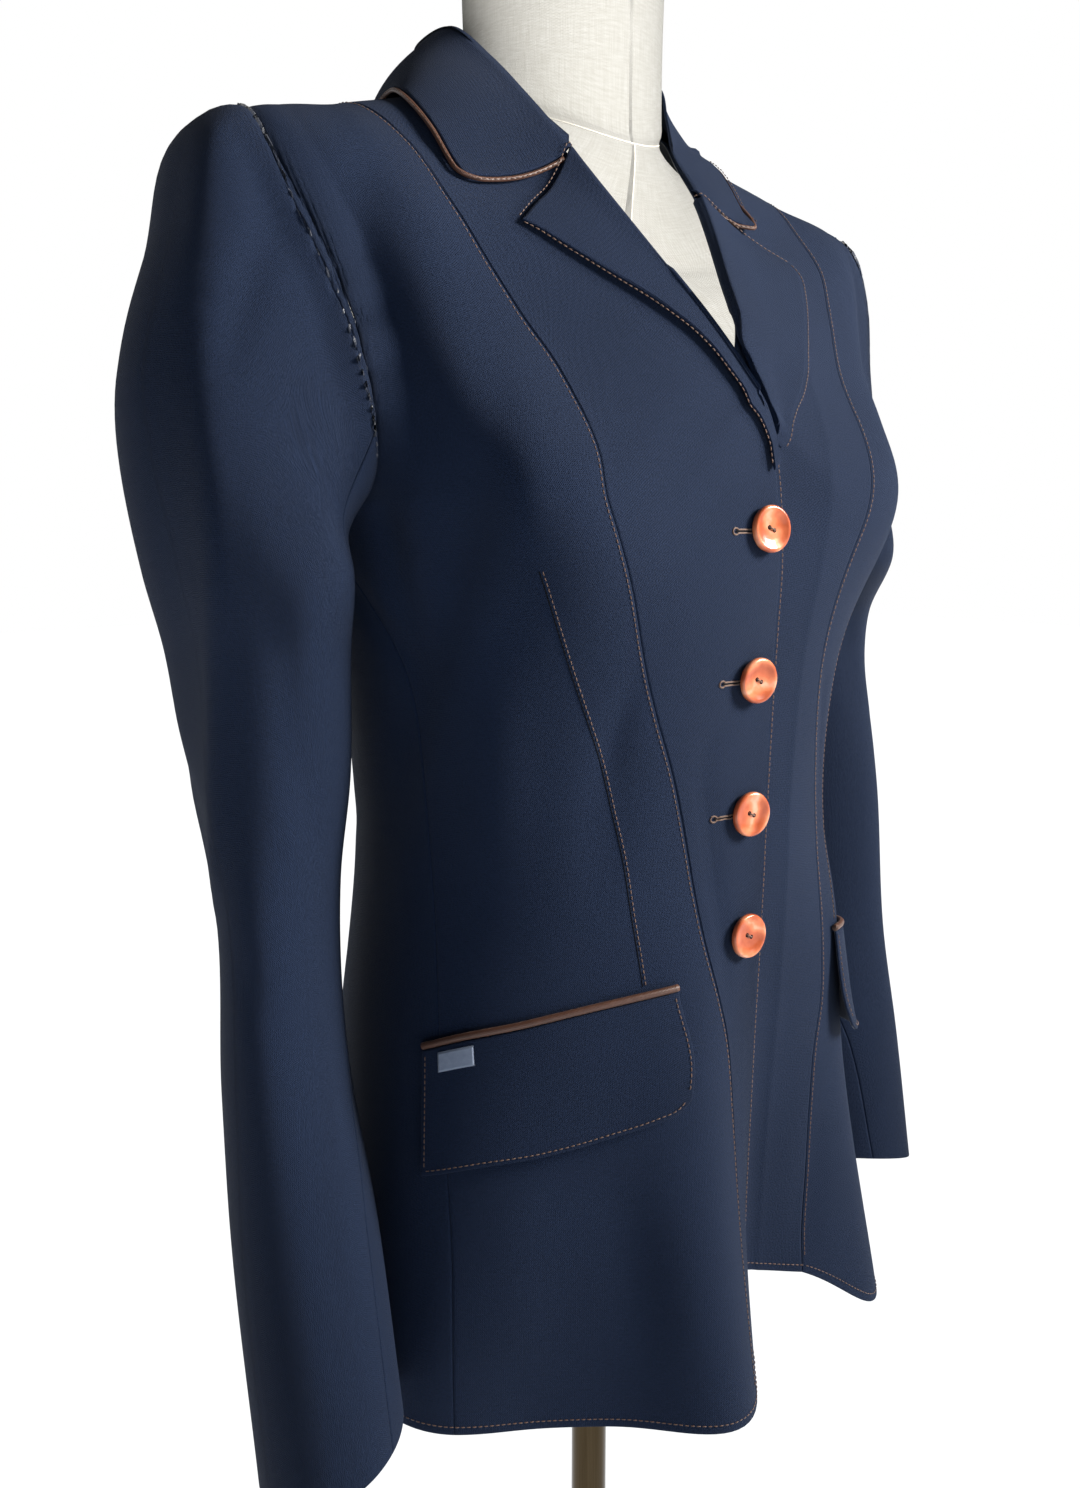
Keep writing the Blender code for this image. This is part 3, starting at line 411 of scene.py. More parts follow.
def along(points, s):  # a smooth line through the points, at shares s of its length
    q = np.asarray(points, float)
    scale = np.array([1 / 400, 1.0]) if q.shape[1] == 2 else np.ones(q.shape[1])
    k = np.concatenate([[0], np.cumsum(np.linalg.norm(np.diff(q, axis=0) * scale, axis=1))])
    return smooth(k / k[-1], q, s)


def coons(left, right, bottom, top):  # a surface between four edges
    u = np.linspace(0, 1, len(bottom))[:, None, None]
    w = np.linspace(0, 1, len(left))[None, :, None]
    return ((1 - u) * left[None] + u * right[None] + (1 - w) * bottom[:, None] + w * top[:, None]
            - (1 - u) * (1 - w) * left[0] - u * (1 - w) * right[0]
            - (1 - u) * w * left[-1] - u * w * right[-1])


def relaxed(g, rounds):  # the inner points drawn to even spacing
    g = g.copy()
    for _ in range(rounds):
        g[1:-1, 1:-1] = (g[:-2, 1:-1] + g[2:, 1:-1] + g[1:-1, :-2] + g[1:-1, 2:]) / 4
    return g


def finer(g, acrossTimes, upTimes):  # more rows and columns on the same surface
    nu, nw = g.shape[:2]
    g = smooth(np.arange(nu), g, np.linspace(0, nu - 1, (nu - 1) * acrossTimes + 1))
    g = smooth(np.arange(nw), np.swapaxes(g, 0, 1), np.linspace(0, nw - 1, (nw - 1) * upTimes + 1))
    return np.swapaxes(g, 0, 1)


def gridNormals(p, like=None):
    n = unit(np.cross(np.gradient(p, axis=0), np.gradient(p, axis=1)))
    return n if like is None else n * np.sign((n * like).sum(-1, keepdims=True))


# a turned edge: how far each of its rows stands in, and how far it drops
edgeFold = {"in": (0.0, .00010, .00032, .00075, .0016),
            "drop": (.00070, .00044, .00022, .00006, 0.0)}


def addMesh(name, verts, faces, finishes, uv=None, faceFinish=None):
    data = bpy.data.meshes.new(name)
    data.from_pydata(np.asarray(verts, float).tolist(), [], faces)
    for finish in finishes:
        data.materials.append(finish)
    data.polygons.foreach_set("use_smooth", [True] * len(data.polygons))
    if faceFinish is not None:
        data.polygons.foreach_set("material_index", faceFinish)
    if uv is not None:
        layer = data.uv_layers.new(name="cloth")
        corner = np.empty(len(data.loops), np.int32)
        data.loops.foreach_get("vertex_index", corner)
        layer.data.foreach_set("uv", np.asarray(uv, np.float32)[corner].ravel())
    data.update()
    thing = bpy.data.objects.new(name, data)
    scene.collection.objects.link(thing)
    return thing


def quads(nu, nw):
    i, j = np.meshgrid(np.arange(nu - 1), np.arange(nw - 1), indexing="ij")
    a = (i * nw + j).ravel()
    return np.stack([a, a + nw, a + nw + 1, a + 1], -1)


def insertEdges(p, n, drop):  # close rows by two edges, which round them off
    depths, falls = (np.array(edgeFold[key])[:, None] for key in ("in", "drop"))
    count = len(depths)

    def rows(end, near):
        d = p[near] - p[end]
        ln = np.linalg.norm(d, axis=-1, keepdims=True) + 1e-12
        return p[end] + d * (np.minimum(depths[..., None], ln * .5) / ln)

    return (np.concatenate([rows(0, 1), p[1:-1], rows(-1, -2)[::-1]]),
            np.concatenate([np.repeat(n[:1], count, 0), n[1:-1], np.repeat(n[-1:], count, 0)]),
            np.concatenate([np.maximum(falls, drop[:1]), drop[1:-1],
                            np.maximum(falls[::-1], drop[-1:])]))


def clothUv(p):  # metres along the cloth, so the weave keeps its scale
    def run(axis):
        step = np.linalg.norm(np.diff(p, axis=axis), axis=-1)
        total = np.cumsum(step, axis=axis)
        return np.concatenate([np.zeros_like(np.take(total, [0], axis)), total], axis)
    across, up = run(0), run(1)
    across = across - across[len(across) // 2][None]
    return np.stack([across + .5, up + .05], -1)


def shell(name, p, n, flip, wall=jacket["wall"], outside=wool, inside=lining):
    grids = p, n, np.zeros(p.shape[:2])
    for _ in range(2):  # edges across, then edges along
        grids = [np.swapaxes(a, 0, 1) for a in insertEdges(*grids)]
    p, n, drop = grids
    drop = np.minimum(drop, wall * .47)[..., None]
    nu, nw = p.shape[:2]
    count = nu * nw
    outer, inner = (p - n * drop).reshape(-1, 3), (p - n * (wall - drop)).reshape(-1, 3)
    face = quads(nu, nw)
    k = np.arange(count).reshape(nu, nw)
    rim = np.concatenate([k[:, 0], k[-1, 1:], k[-2::-1, -1], k[0, -2:0:-1]])
    after = np.roll(rim, -1)
    faces = np.concatenate([face, face[:, ::-1] + count,
                            np.stack([after, rim, rim + count, after + count], -1)])
    which = np.repeat([0, 1, 0], [len(face), len(face), len(rim)])
    uv = clothUv(p).reshape(-1, 2)
    return addMesh(name, np.concatenate([outer, inner]), faces[:, ::-1 if flip else 1].tolist(),
                   [outside, inside], np.concatenate([uv, uv]), which)


def dress(piece, slotName, *nodes):
    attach(piece, "root")
    if nodes:
        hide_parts(*nodes)
    return piece


def lathe(name, rings, finish, uv=None):
    p = np.asarray(rings, float)
    count, sides = p.shape[:2]
    start, j = np.arange(count - 1)[:, None] * sides, np.arange(sides)
    a, b = (start + j).ravel(), (start + (j + 1) % sides).ravel()
    faces = np.stack([a, b, b + sides, a + sides], -1).tolist()
    verts = p.reshape(-1, 3).tolist()
    for ring, order in ((0, -1), (count - 1, 1)):
        for j in range(sides):
            pair = [ring * sides + j, ring * sides + (j + 1) % sides][::order]
            faces.append([len(verts)] + pair)
        verts.append(p[ring].mean(0).tolist())
    if uv is None:
        up = np.cumsum(np.linalg.norm(np.diff(p, axis=0), axis=-1).mean(1))
        girth = np.linalg.norm(np.roll(p, -1, 1) - p, axis=-1).sum(1).mean()
        around = np.linspace(0, 1, sides, endpoint=False) * girth
        uv = np.stack(np.broadcast_arrays(around, np.append(0, up)[:, None]), -1).reshape(-1, 2)
        uv = np.concatenate([uv, np.zeros((2, 2))])
    return addMesh(name, verts, faces, [finish], uv)


def tube(name, line, radius, finish, sides=12, up=(.3, .2, 1.0)):
    line = np.asarray(line, float)
    tangent = unit(np.gradient(line, axis=0))
    a = unit(np.cross(tangent, np.asarray(up)))
    b = np.cross(tangent, a)
    q = np.linspace(0, 2 * np.pi, sides, endpoint=False)[None, :, None]
    r = np.broadcast_to(np.asarray(radius, float), (len(line),))[:, None, None]
    ring = a[:, None] * np.cos(q) + b[:, None] * np.sin(q)
    return lathe(name, line[:, None] + r * ring, finish)


# seam lines as (angle, level), hem to shoulder
princess = dict(
    right=[(-3.6, .757), (-3.4, .80), (-3.4, .87), (-3.8, .91), (-5, .952), (-6.8, .972),
           (-10.5, 1.004), (-14, 1.042), (-18.5, 1.09), (-22, 1.12), (-24.5, 1.148), (-26.5, 1.176),
           (-28.5, 1.204), (-29, 1.222), (-27, 1.244), (-26.3, 1.265), (-26.3, 1.284),
           (-28, 1.300), (-29.5, 1.316), (-33, 1.336), (-41, 1.354), (-51, 1.368),
           (-63, 1.377), (-76, 1.382), (-90, 1.384)],
    left=[(23.5, .784), (23.6, .804), (25, .846), (26, .890), (27.5, .920), (30, .946),
          (31, .98), (31.5, 1.014), (31.5, 1.044), (29, 1.074), (25.7, 1.106),
          (23.7, 1.138), (23.0, 1.19), (25.5, 1.222), (26.5, 1.258), (26.5, 1.284),
          (28.5, 1.306), (32, 1.33), (40, 1.35), (50, 1.366), (63, 1.377), (76, 1.382),
          (90, 1.384)])
sideFrontSeam = [(62, .758), (63, .80), (64.5, .854), (67, .896), (71.5, .962), (75, 1.012),
                 (77.5, 1.052), (79, 1.098), (81, 1.14), (87, 1.175), (91, 1.200), (92, 1.219)]
armholeFront = [(92, 1.219), (83, 1.222), (75, 1.232), (70, 1.248), (68, 1.262), (67.3, 1.280),
                (67.5, 1.298), (68.5, 1.310), (72, 1.322), (78.5, 1.334), (90, 1.3445)]
armholeBack = [(105, 1.225), (110, 1.236), (114, 1.256), (115.5, 1.275), (115, 1.295),
               (111, 1.315), (103, 1.333), (90, 1.3445)]
armholeUnder = [(92, 1.219), (98, 1.2195), (105, 1.225)]
sideBackSeam = [(117, .752), (117.5, .85), (118, .95), (118, 1.02), (116, 1.10), (111, 1.17),
                (105, 1.225)]
frontEdge = dict(
    right=[(8, .795), (7, .84), (6, .90), (5.2, .95), (5.2, .984), (5.2, 1.038), (5.4, 1.07),
           (5.2, 1.102), (4.8, 1.142), (4.3, 1.172), (4.2, 1.22), (4.6, jacket["breakLevel"])],
    left=[(2.5, .800), (2.2, .84), (1.5, .90), (-2, .96), (-6.5, 1.02), (-8, 1.10), (-7, 1.20),
          (-6, jacket["breakLevel"])])
rollLine = dict(
    right=[(.0100, -.1155, jacket["breakLevel"]), (.0050, -.1125, 1.266), (-.0050, -.106, 1.283),
           (-.0195, -.096, 1.306), (-.0355, -.081, 1.332), (-.0490, -.065, 1.357),
           (-.0590, -.048, 1.381), (-.0645, -.029, 1.404), (-.067, -.004, 1.421),
           (-.0695, .026, 1.4305)],
    left=[(-.012, -.1105, jacket["breakLevel"]), (-.008, -.108, 1.266), (.002, -.100, 1.285),
          (.0155, -.087, 1.308), (.0250, -.069, 1.333), (.0345, -.051, 1.357),
          (.0425, -.0325, 1.381), (.0490, -.0115, 1.403), (.0590, .007, 1.420),
          (.0695, .026, 1.4305)])
rows = {"front": 15, "seam": 17, "arm": 10, "shoulder": 8}
rows["all"] = rows["seam"] + rows["arm"] - 1
panels = {}


def steps(count, times):  # rows of a seam, each cut into finer ones
    return np.linspace(0, 1, (count - 1) * times + 1)


def joined(times, sign, *linesRows):  # several seams end to end, with rows for each
    parts = []
    for line, count in linesRows:
        q = along(np.array(line) * (sign, 1), steps(count, times))
        parts.append(q[1:] if parts else q)
    return np.concatenate(parts)


# a hem between two corners; rise holds (angle, width, height) of its waves
def hemLine(start, end, n, rise=()):
    (t0, v0), (t1, v1) = start, end
    t, v = np.linspace(t0, t1, n), np.linspace(v0, v1, n)
    for c, w, a in rise:
        v = v + a * (hill(t, c, w) - np.linspace(hill(t0, c, w), hill(t1, c, w), n))
    return np.stack([t, v], -1)


# the (angle, level) of points near the skin, found on a fine grid
def angleLevel(points):
    tt, vv = np.meshgrid(np.linspace(-95, 95, 381), np.linspace(1.2, 1.43, 231))
    q = skin(tt, vv)[0]
    nearest = [np.argmin(((q - x) ** 2).sum(-1)) for x in points]
    return np.stack([tt.flat[nearest], vv.flat[nearest]], -1)


# soft creases: lines on the skin as (angle, level), then width, depth (+ hollow, - ridge), metres
creases = [
    ([(-50, 1.345), (-54, 1.328), (-58, 1.308), (-62, 1.288)], .015, .0042),
    ([(-58, 1.312), (-60, 1.286), (-58, 1.262), (-54, 1.238)], .016, .0042),
    ([(-42, 1.330), (-44, 1.300), (-46, 1.272), (-46, 1.245)], .014, -.0016),
    ([(-70, 1.250), (-73.5, 1.220), (-76, 1.190), (-77.5, 1.150)], .008, .0030),
    ([(-62, 1.240), (-65, 1.210), (-68, 1.180), (-71, 1.150)], .008, -.0014),
    ([(-90, 1.180), (-86, 1.168), (-82, 1.154), (-79, 1.138)], .008, .0028),
    ([(-37, 1.262), (-43, 1.226), (-50, 1.198), (-57, 1.174), (-64, 1.148), (-71, 1.120),
      (-78, 1.085)], .013, -.0022),
    ([(-46, 1.254), (-53, 1.220), (-60, 1.192), (-67, 1.166), (-74, 1.138), (-80, 1.110),
      (-86, 1.075)], .020, .0062),
    ([(-26.5, 1.138), (-30.5, 1.114), (-34, 1.090)], .007, .0014),
    ([(-57, 1.130), (-59, 1.090), (-61, 1.045)], .018, -.0036),
    ([(-31, 1.120), (-33, 1.080), (-35, 1.040)], .015, .0022),
    ([(-10, 1.106), (-11, 1.084), (-9.5, 1.060), (-7.5, 1.030), (-6, 1.008), (-4.5, .972)],
     .007, .0012),
    ([(-26.5, .876), (-24, .830), (-22, .792)], .016, .0022),
    ([(-50, .890), (-48, .840), (-47, .790)], .020, -.0016),
    ([(60, 1.34), (56, 1.31), (50, 1.28)], .012, .0024),
    ([(48, 1.250), (56, 1.210), (66, 1.165), (76, 1.120)], .018, .0040),
    ([(86, 1.21), (80, 1.17), (76, 1.12)], .008, .0026),
    ([(28, 1.13), (32, 1.10), (36, 1.07)], .007, .0012),
    ([(27, .870), (25, .830), (24, .800)], .012, .0016),
    ([(150, 1.30), (128, 1.26), (112, 1.22)], .012, .0026),
    ([(-150, 1.30), (-128, 1.26), (-112, 1.22)], .012, .0028),
    ([(165, 1.10), (140, 1.075), (118, 1.07)], .010, .0020),
    ([(-168, 1.08), (-142, 1.06), (-120, 1.055)], .010, .0020),
    ([(-150, .93), (-146, .86), (-144, .78)], .018, .0026),
    ([(152, .95), (148, .88), (145, .78)], .018, .0024)]


def creased(p, n):
    shift = np.zeros(p.shape[:2])
    for line, width, depth in creases:
        path = skin(*along(line, np.linspace(0, 1, 28)).T)[0]
        fade = np.sin(np.linspace(.06, .94, len(path)) * np.pi) ** .7
        d2 = ((p[:, :, None] - path) ** 2).sum(-1)
        shift = shift + depth * (fade * np.exp(-d2 / width**2)).max(-1)
    arm = np.array(armholeFront + armholeBack[::-1] + armholeUnder)
    hole = np.concatenate([skin(arm[:, 0] * sign, arm[:, 1])[0] for sign in (-1, 1)])
    d = np.linalg.norm(p[:, :, None] - hole, axis=-1).min(-1)
    fade = np.clip((d - jacket["creaseFrom"]) / jacket["creaseFull"], 0, 1) ** .7
    return p - n * (shift * fade)[..., None]  # no crease close to the armhole


# how far the armhole seam stands out, by the way round it (0 at the top, 90 in front), metres
armFill = {"reach": .018, "blend": .006, "rise": [
    (0, .0030), (25, .0050), (50, .0075), (80, .0080), (110, .0050), (140, .0012), (180, 0),
    (225, .0015), (265, .0045), (310, .0040), (360, .0030)]}


def armLoop(psi):
    arm = np.array(armholeFront[::-1] + [(98, 1.2195)] + armholeBack)
    k = np.concatenate([[0], np.cumsum(np.hypot(*(np.diff(arm, axis=0) / (400, 1)).T))])
    key = np.interp(k, [0, k[5], k[11], k[15], k[-1]], [0, 80, 180, 265, 360])
    return smooth(key, arm, psi % 360)


def pushed(p, side):  # both edges of the armhole seam raised alike
    s = signs[side]
    psi = np.arange(0, 360, 4.0)
    c, q = np.cos(np.radians(psi)), np.sin(np.radians(psi))
    loop = armLoop(psi)
    a, n = skin(loop[:, 0] * s, loop[:, 1])
    way = unit(n + unit(np.stack([s * .3 * c, -q, np.clip(c, 0, 1)], -1)))
    rise = np.interp(psi, *np.array(armFill["rise"]).T)[:, None] * way
    d2 = ((p[..., None, :] - a) ** 2).sum(-1)
    near = d2.min(-1, keepdims=True)
    weight = np.exp((near - d2) / armFill["blend"] ** 2)
    weight /= weight.sum(-1, keepdims=True)
    return p + (weight @ rise) * np.clip(1 - np.sqrt(near) / armFill["reach"], 0, 1) ** 1.2


# a front runs from its edge and the lapel's roll line to the princess seam
def frontPanel(side):
    sign = signs[side]
    k, low = jacket["upFine"], rows["front"]
    edge = along(frontEdge[side], steps(low, k))
    neck = skin(90.0 * sign, 1.43)[0]

    def rolled(times):
        roll = along(rollLine[side], steps(rows["all"] - low + 1, times))
        return roll + (neck - roll[-1]) * steps(rows["all"] - low + 1, times)[:, None] ** 3

    rp = angleLevel(rolled(1))
    rp[0], rp[-1] = edge[-1], (90 * sign, 1.43)
    rp = smooth(np.arange(len(rp)), rp, steps(len(rp), k) * (len(rp) - 1))
    left = np.concatenate([edge, rp[1:]])
    right = along(princess[side], steps(rows["all"], k))
    nu = jacket["across"]
    u = np.linspace(0, 1, nu)
    bottom = hemLine(left[0], right[0], nu)
    if side == "right":
        bottom[:, 1] = right[0, 1] + (left[0, 1] - right[0, 1]) * (1 - u) ** 1.6
    top = np.stack([np.full(nu, 90.0 * sign), np.linspace(1.43, right[-1, 1], nu)], -1)
    g = coons(left, right, bottom, top)
    under = 0
    if side == "left":
        under = (-jacket["underlap"] * np.clip((15 - g[..., 0]) / 9, 0, 1) ** .8
                 * np.clip((jacket["breakLevel"] + .06 - g[..., 1]) / .03, 0, 1))
    p, n = skin(g[..., 0], g[..., 1], under)
    own = skin(left[:, 0], left[:, 1])[0]
    first = (low - 1) * k
    delta = np.zeros((len(left), 3))
    delta[first:] = rolled(k) - own[first:]
    if side == "left":
        delta[first:] *= np.clip(np.arange(len(left) - first) / k, 0, 1)[:, None]
    fade = np.interp(np.arange(first), [0, (low - 4) * k, first], [0, 0, 1])
    delta[:first] = delta[first] * fade[:, None]
    ease = (1 - u) ** 1.5
    p = p + ease[:, None, None] * delta[None]
    gn = gridNormals(p, n)
    moved = np.clip(np.linalg.norm(delta, axis=1) / .004, 0, 1)
    blend = (moved[None, :] * ease[:, None])[..., None]
    n = unit(n * (1 - blend) + gn * blend)
    return g, p, n


def sideFront(side):
    sign = signs[side]
    k = jacket["upFine"]
    left = along(princess[side], steps(rows["all"], k))
    right = joined(k, sign, (sideFrontSeam, rows["seam"]), (armholeFront, rows["arm"]))
    nu = jacket["across"]
    bottom = hemLine(left[0], right[0], nu, [(39, 11, -.026)] if side == "left" else [])
    top = np.stack([np.full(nu, 90.0 * sign), np.linspace(left[-1, 1], right[-1, 1], nu)], -1)
    g = coons(left, right, bottom, top)
    return (g, *skin(g[..., 0], g[..., 1]))


def sidePanel(side):
    sign = signs[side]
    left, right = (joined(jacket["upFine"], sign, (line, rows["seam"]))
                   for line in (sideFrontSeam, sideBackSeam))
    nu = jacket["across"]
    bottom = hemLine(left[0], right[0], nu, [(sign * 84, 16, .006)])
    top = along(np.array(armholeUnder) * (sign, 1), np.linspace(0, 1, nu))
    g = coons(left, right, bottom, top)
    spread = (.0045 * np.clip((jacket["ventTop"] - g[..., 1]) / .24, 0, 1)
              * hill(g[..., 0] * sign, 119, 14))
    return (g, *skin(g[..., 0], g[..., 1], spread))


def backPanel(side):
    sign = signs[side]
    shoulder = [(90.0, v) for v in (1.3445, 1.365, 1.385, 1.407, 1.43)]

    def boundary(times, nu):
        left = joined(times, sign, (sideBackSeam, rows["seam"]), (armholeBack, rows["arm"]),
                      (shoulder, rows["shoulder"]))
        vent = left[:, 1] < jacket["ventTop"]
        left[vent, 0] += sign * .9 * np.clip((jacket["ventTop"] - left[vent, 1]) / .05, 0, 1)
        knots = np.array([0, rows["seam"] - 1, rows["all"] - 1, (len(left) - 1) / times])
        level = np.interp(np.arange(len(left)) / times, knots, [.748, 1.235, 1.365, 1.43])
        right = np.stack([np.full(len(left), 180.0 * sign), level], -1)
        neck = np.stack([np.linspace(90, 180, nu) * sign, np.full(nu, 1.43)], -1)
        return left, right, hemLine(left[0], right[0], nu), neck

    k, times = jacket["upFine"], jacket["acrossFine"]
    g = finer(relaxed(coons(*boundary(1, 8)), 60), times, k)
    left, right, bottom, neck = boundary(k, 7 * times + 1)
    g = g + coons(left - g[0], right - g[-1], bottom - g[:, 0], neck - g[:, -1])
    return (g, *skin(g[..., 0], g[..., 1]))


makers = {"front_": frontPanel, "side_front_": sideFront, "side_panel_": sidePanel,
          "back_": backPanel}


def hang(piece, name):  # a cut piece of the jacket, in place of its solid
    dress(piece, "navy_wool", name)


for start, maker in makers.items():
    for side in ("right", "left"):
        g, p, n = maker(side)
        p = pushed(creased(p, n), side)
        n = gridNormals(p, n)
        panels[start + side] = (g, p, n)
        hang(shell(start + side + "_cloth", p, n, side == "right"), start + side)
print("body panels made")


def onPanel(name, u, w, out=0.0, fine=None):  # a point at a share across and a row up
    g, p, n = panels[name]
    nu, nw = p.shape[:2]
    u, w, out = np.broadcast_arrays(*(np.asarray(a, float) for a in (u, w, out)))
    x, y = np.clip(u, 0, 1) * (nu - 1), w * (fine or jacket["upFine"])
    i, j = np.clip(x.astype(int), 0, nu - 2), np.clip(y.astype(int), 0, nw - 2)
    a, b = (x - i)[..., None], (y - j)[..., None]

    def mixed(f):
        return ((f[i, j] * (1 - a) + f[i + 1, j] * a) * (1 - b)
                + (f[i, j + 1] * (1 - a) + f[i + 1, j + 1] * a) * b)

    return mixed(p) + mixed(n) * out[..., None]


def locate(name, targets, seen=False):  # (angle, level), or (x, z) when seen from the front
    g, p, n = panels[name]
    field = p[..., ::2] if seen else g * (.0022, 1)
    across, up = np.gradient(field, axis=(0, 1))
    found = []
    for target in np.asarray(targets, float) * ((1, 1) if seen else (.0022, 1)):
        start = np.unravel_index(((field - target) ** 2).sum(-1).argmin(), field.shape[:2])
        slope = np.stack([across[start], up[start]], -1)
        step = np.linalg.lstsq(slope, target - field[start], rcond=None)[0]
        found.append(np.array(start) + np.clip(step, -1, 1))
    found = np.array(found)
    return found[:, 0] / (p.shape[0] - 1), found[:, 1] / jacket["upFine"]


# lapel outlines on the front panels as (fraction across, row)
lapelShape = {
    "right": dict(roll=[(0, 13.6), (0, 16), (0, 18.6), (0, 21.3)],
                  edge=[(.035, 13.6), (.036, 14.3), (.036, 15.0), (.040, 15.6), (.055, 16.3),
                        (.10, 17.05), (.19, 17.9), (.335, 18.8), (.485, 19.45), (.595, 19.8)],
                  top=[(0, 21.3), (.14, 20.95), (.36, 20.4), (.595, 19.8)], wrapRow=13.8),
    "left": dict(roll=[(.215, 14.7), (.13, 15.5), (.05, 16.2), (0, 16.8), (0, 18.8), (0, 21.2)],
                 edge=[(.245, 14.7), (.30, 15.7), (.38, 16.4), (.49, 17.45), (.59, 18.5),
                       (.675, 19.5), (.66, 20.0)],
                 top=[(0, 21.2), (.22, 21.0), (.44, 20.6), (.66, 20.0)], wrapRow=16.3)}

lapelLift = {"lie": .0031, "fold": .0016, "belly": .0014,  # off the panel, metres
             "roll": [(.0024, -.0016), (.0032, .0004), (.0022, .0030)]}


def evenly(points, s):  # like along, but by number of points
    q = np.asarray(points, float)
    return smooth(np.arange(len(q)) / (len(q) - 1), q, s)


# a lapel: its outer edge lies on the front, and it curls round the roll line to the inside
def lapel(side):
    shape, lift = lapelShape[side], lapelLift
    e = np.linspace(0, 1, 73)
    roll, edge = evenly(shape["roll"], e), evenly(shape["edge"], e)
    across = np.linspace(0, 1, 6)
    top = evenly(shape["top"], across)
    low = across[:, None] * (edge[0] - roll[0]) + roll[0]
    g = coons(roll, edge, low, top)
    name = "front_" + side
    out = lift["lie"] + lift["fold"] * np.exp(-(across[:, None] / .35) ** 2) * (g[:1, :, 1] > 15)
    out = out + lift["belly"] * across[:, None] * np.sin(np.clip(e, 0, 1) * np.pi)[None]
    leaf = onPanel(name, g[..., 0], g[..., 1], out)
    root = onPanel(name, g[0, :, 0], g[0, :, 1])
    forward = unit(root - onPanel(name, g[0, :, 0] + .03, g[0, :, 1]))
    n = onPanel(name, g[0, :, 0], g[0, :, 1], 1.0) - root
    wrap = np.clip((g[0, :, 1] - shape["wrapRow"]) / 1.2, 0, 1)
    curl = []
    for k, (ahead, out) in enumerate(lift["roll"]):
        curl.append(root + forward * (ahead * wrap + .0002 * (3 - k) * (1 - wrap))[:, None]
                    + n * (out * wrap + lift["lie"] * (1 - wrap))[:, None])
    p = finer(np.concatenate([np.stack(curl), leaf]), 5, 1)
    return g, p, gridNormals(p) * signs[side]


for side in ("right", "left"):
    g, p, n = lapel(side)
    panels["lapel_" + side] = (g, p, n)
    hang(shell("lapel_" + side + "_cloth", p, n, side == "right", inside=wool), "lapel_" + side)
print("lapels made")

# collar lines from each notch to the centre back: the fold, the outer edge and the foot
foldBack = [(.0725, .0300, 1.4570), (.0680, .0620, 1.458), (.0430, .0950, 1.459), (0, .1075, 1.459)]
edgeBack = [(.1060, .0590, 1.4130), (.0850, .0900, 1.400), (.0460, .1135, 1.389), (0, .1190, 1.385)]
footBack = [(.0700, .0280, 1.4345), (.0640, .0600, 1.432), (.0400, .0890, 1.4285),
            (0, .0985, 1.4275)]
foldFront = dict(right=[(.0610, -.0472, 1.3880), (.0675, -.0238, 1.4135), (.0710, .0000, 1.4360)],
                 left=[(.0400, -.0300, 1.3845), (.0455, -.0115, 1.4055), (.0590, .0070, 1.4300)])
edgeFront = dict(right=[(.1190, -.0370, 1.3680), (.1225, -.0200, 1.3935), (.1225, .0030, 1.4130),
                        (.1130, .0300, 1.4210)],
                 left=[(.0840, -.0400, 1.3720), (.0855, -.0260, 1.3830), (.0900, -.0050, 1.3960),
                       (.0970, .0250, 1.4180)])
footFront = dict(right=[(.0545, -.0395, 1.3965), (.0598, -.0180, 1.4140), (.0650, .0030, 1.4280)],
                 left=[(.0450, -.0240, 1.3935), (.0515, -.0055, 1.4110), (.0620, .0100, 1.4265)])
collarShape = {"count": 181, "coarse": 31, "clear": .0034, "wall": .0018,
               "pipe": .0011, "pipeOut": .0019, "pipeIn": .0009, "pipeClear": .0017}


def whole(front, back, n):  # one collar line, from the right notch round to the left
    r = np.array(front["right"] + back) * (-1, 1, 1)
    q = np.array(front["left"] + back[:-1])[::-1]
    return along(np.concatenate([r, q]), np.linspace(0, 1, n))


def skinTree(names):  # the panels under the collar, to look up
    points, normals = [], []
    for name in names:
        g, p, n = panels[name]
        points.append(p[::2, ::2].reshape(-1, 3))
        normals.append(n[::2, ::2].reshape(-1, 3))
    points, normals = np.concatenate(points), np.concatenate(normals)
    tree = kdtree.KDTree(len(points))
    for i, x in enumerate(points):
        tree.insert(x, i)
    tree.balance()
    return tree, points, normals


def cleared(p, tree, margin):  # points moved out until they clear the panels
    finder, points, normals = tree
    q = p.reshape(-1, 3).copy()
    for i, x in enumerate(q):
        found = finder.find_n(x, 5)
        near = [f[1] for f in found]
        gap = ((x - points[near]) * normals[near]).sum(-1).min()
        if found[0][2] < .03 and gap < margin:
            q[i] = x + normals[near[0]] * (margin - gap)
    return q.reshape(p.shape)


underCollar = skinTree(["front_right", "front_left", "side_front_right", "side_front_left",
                        "back_right", "back_left"])


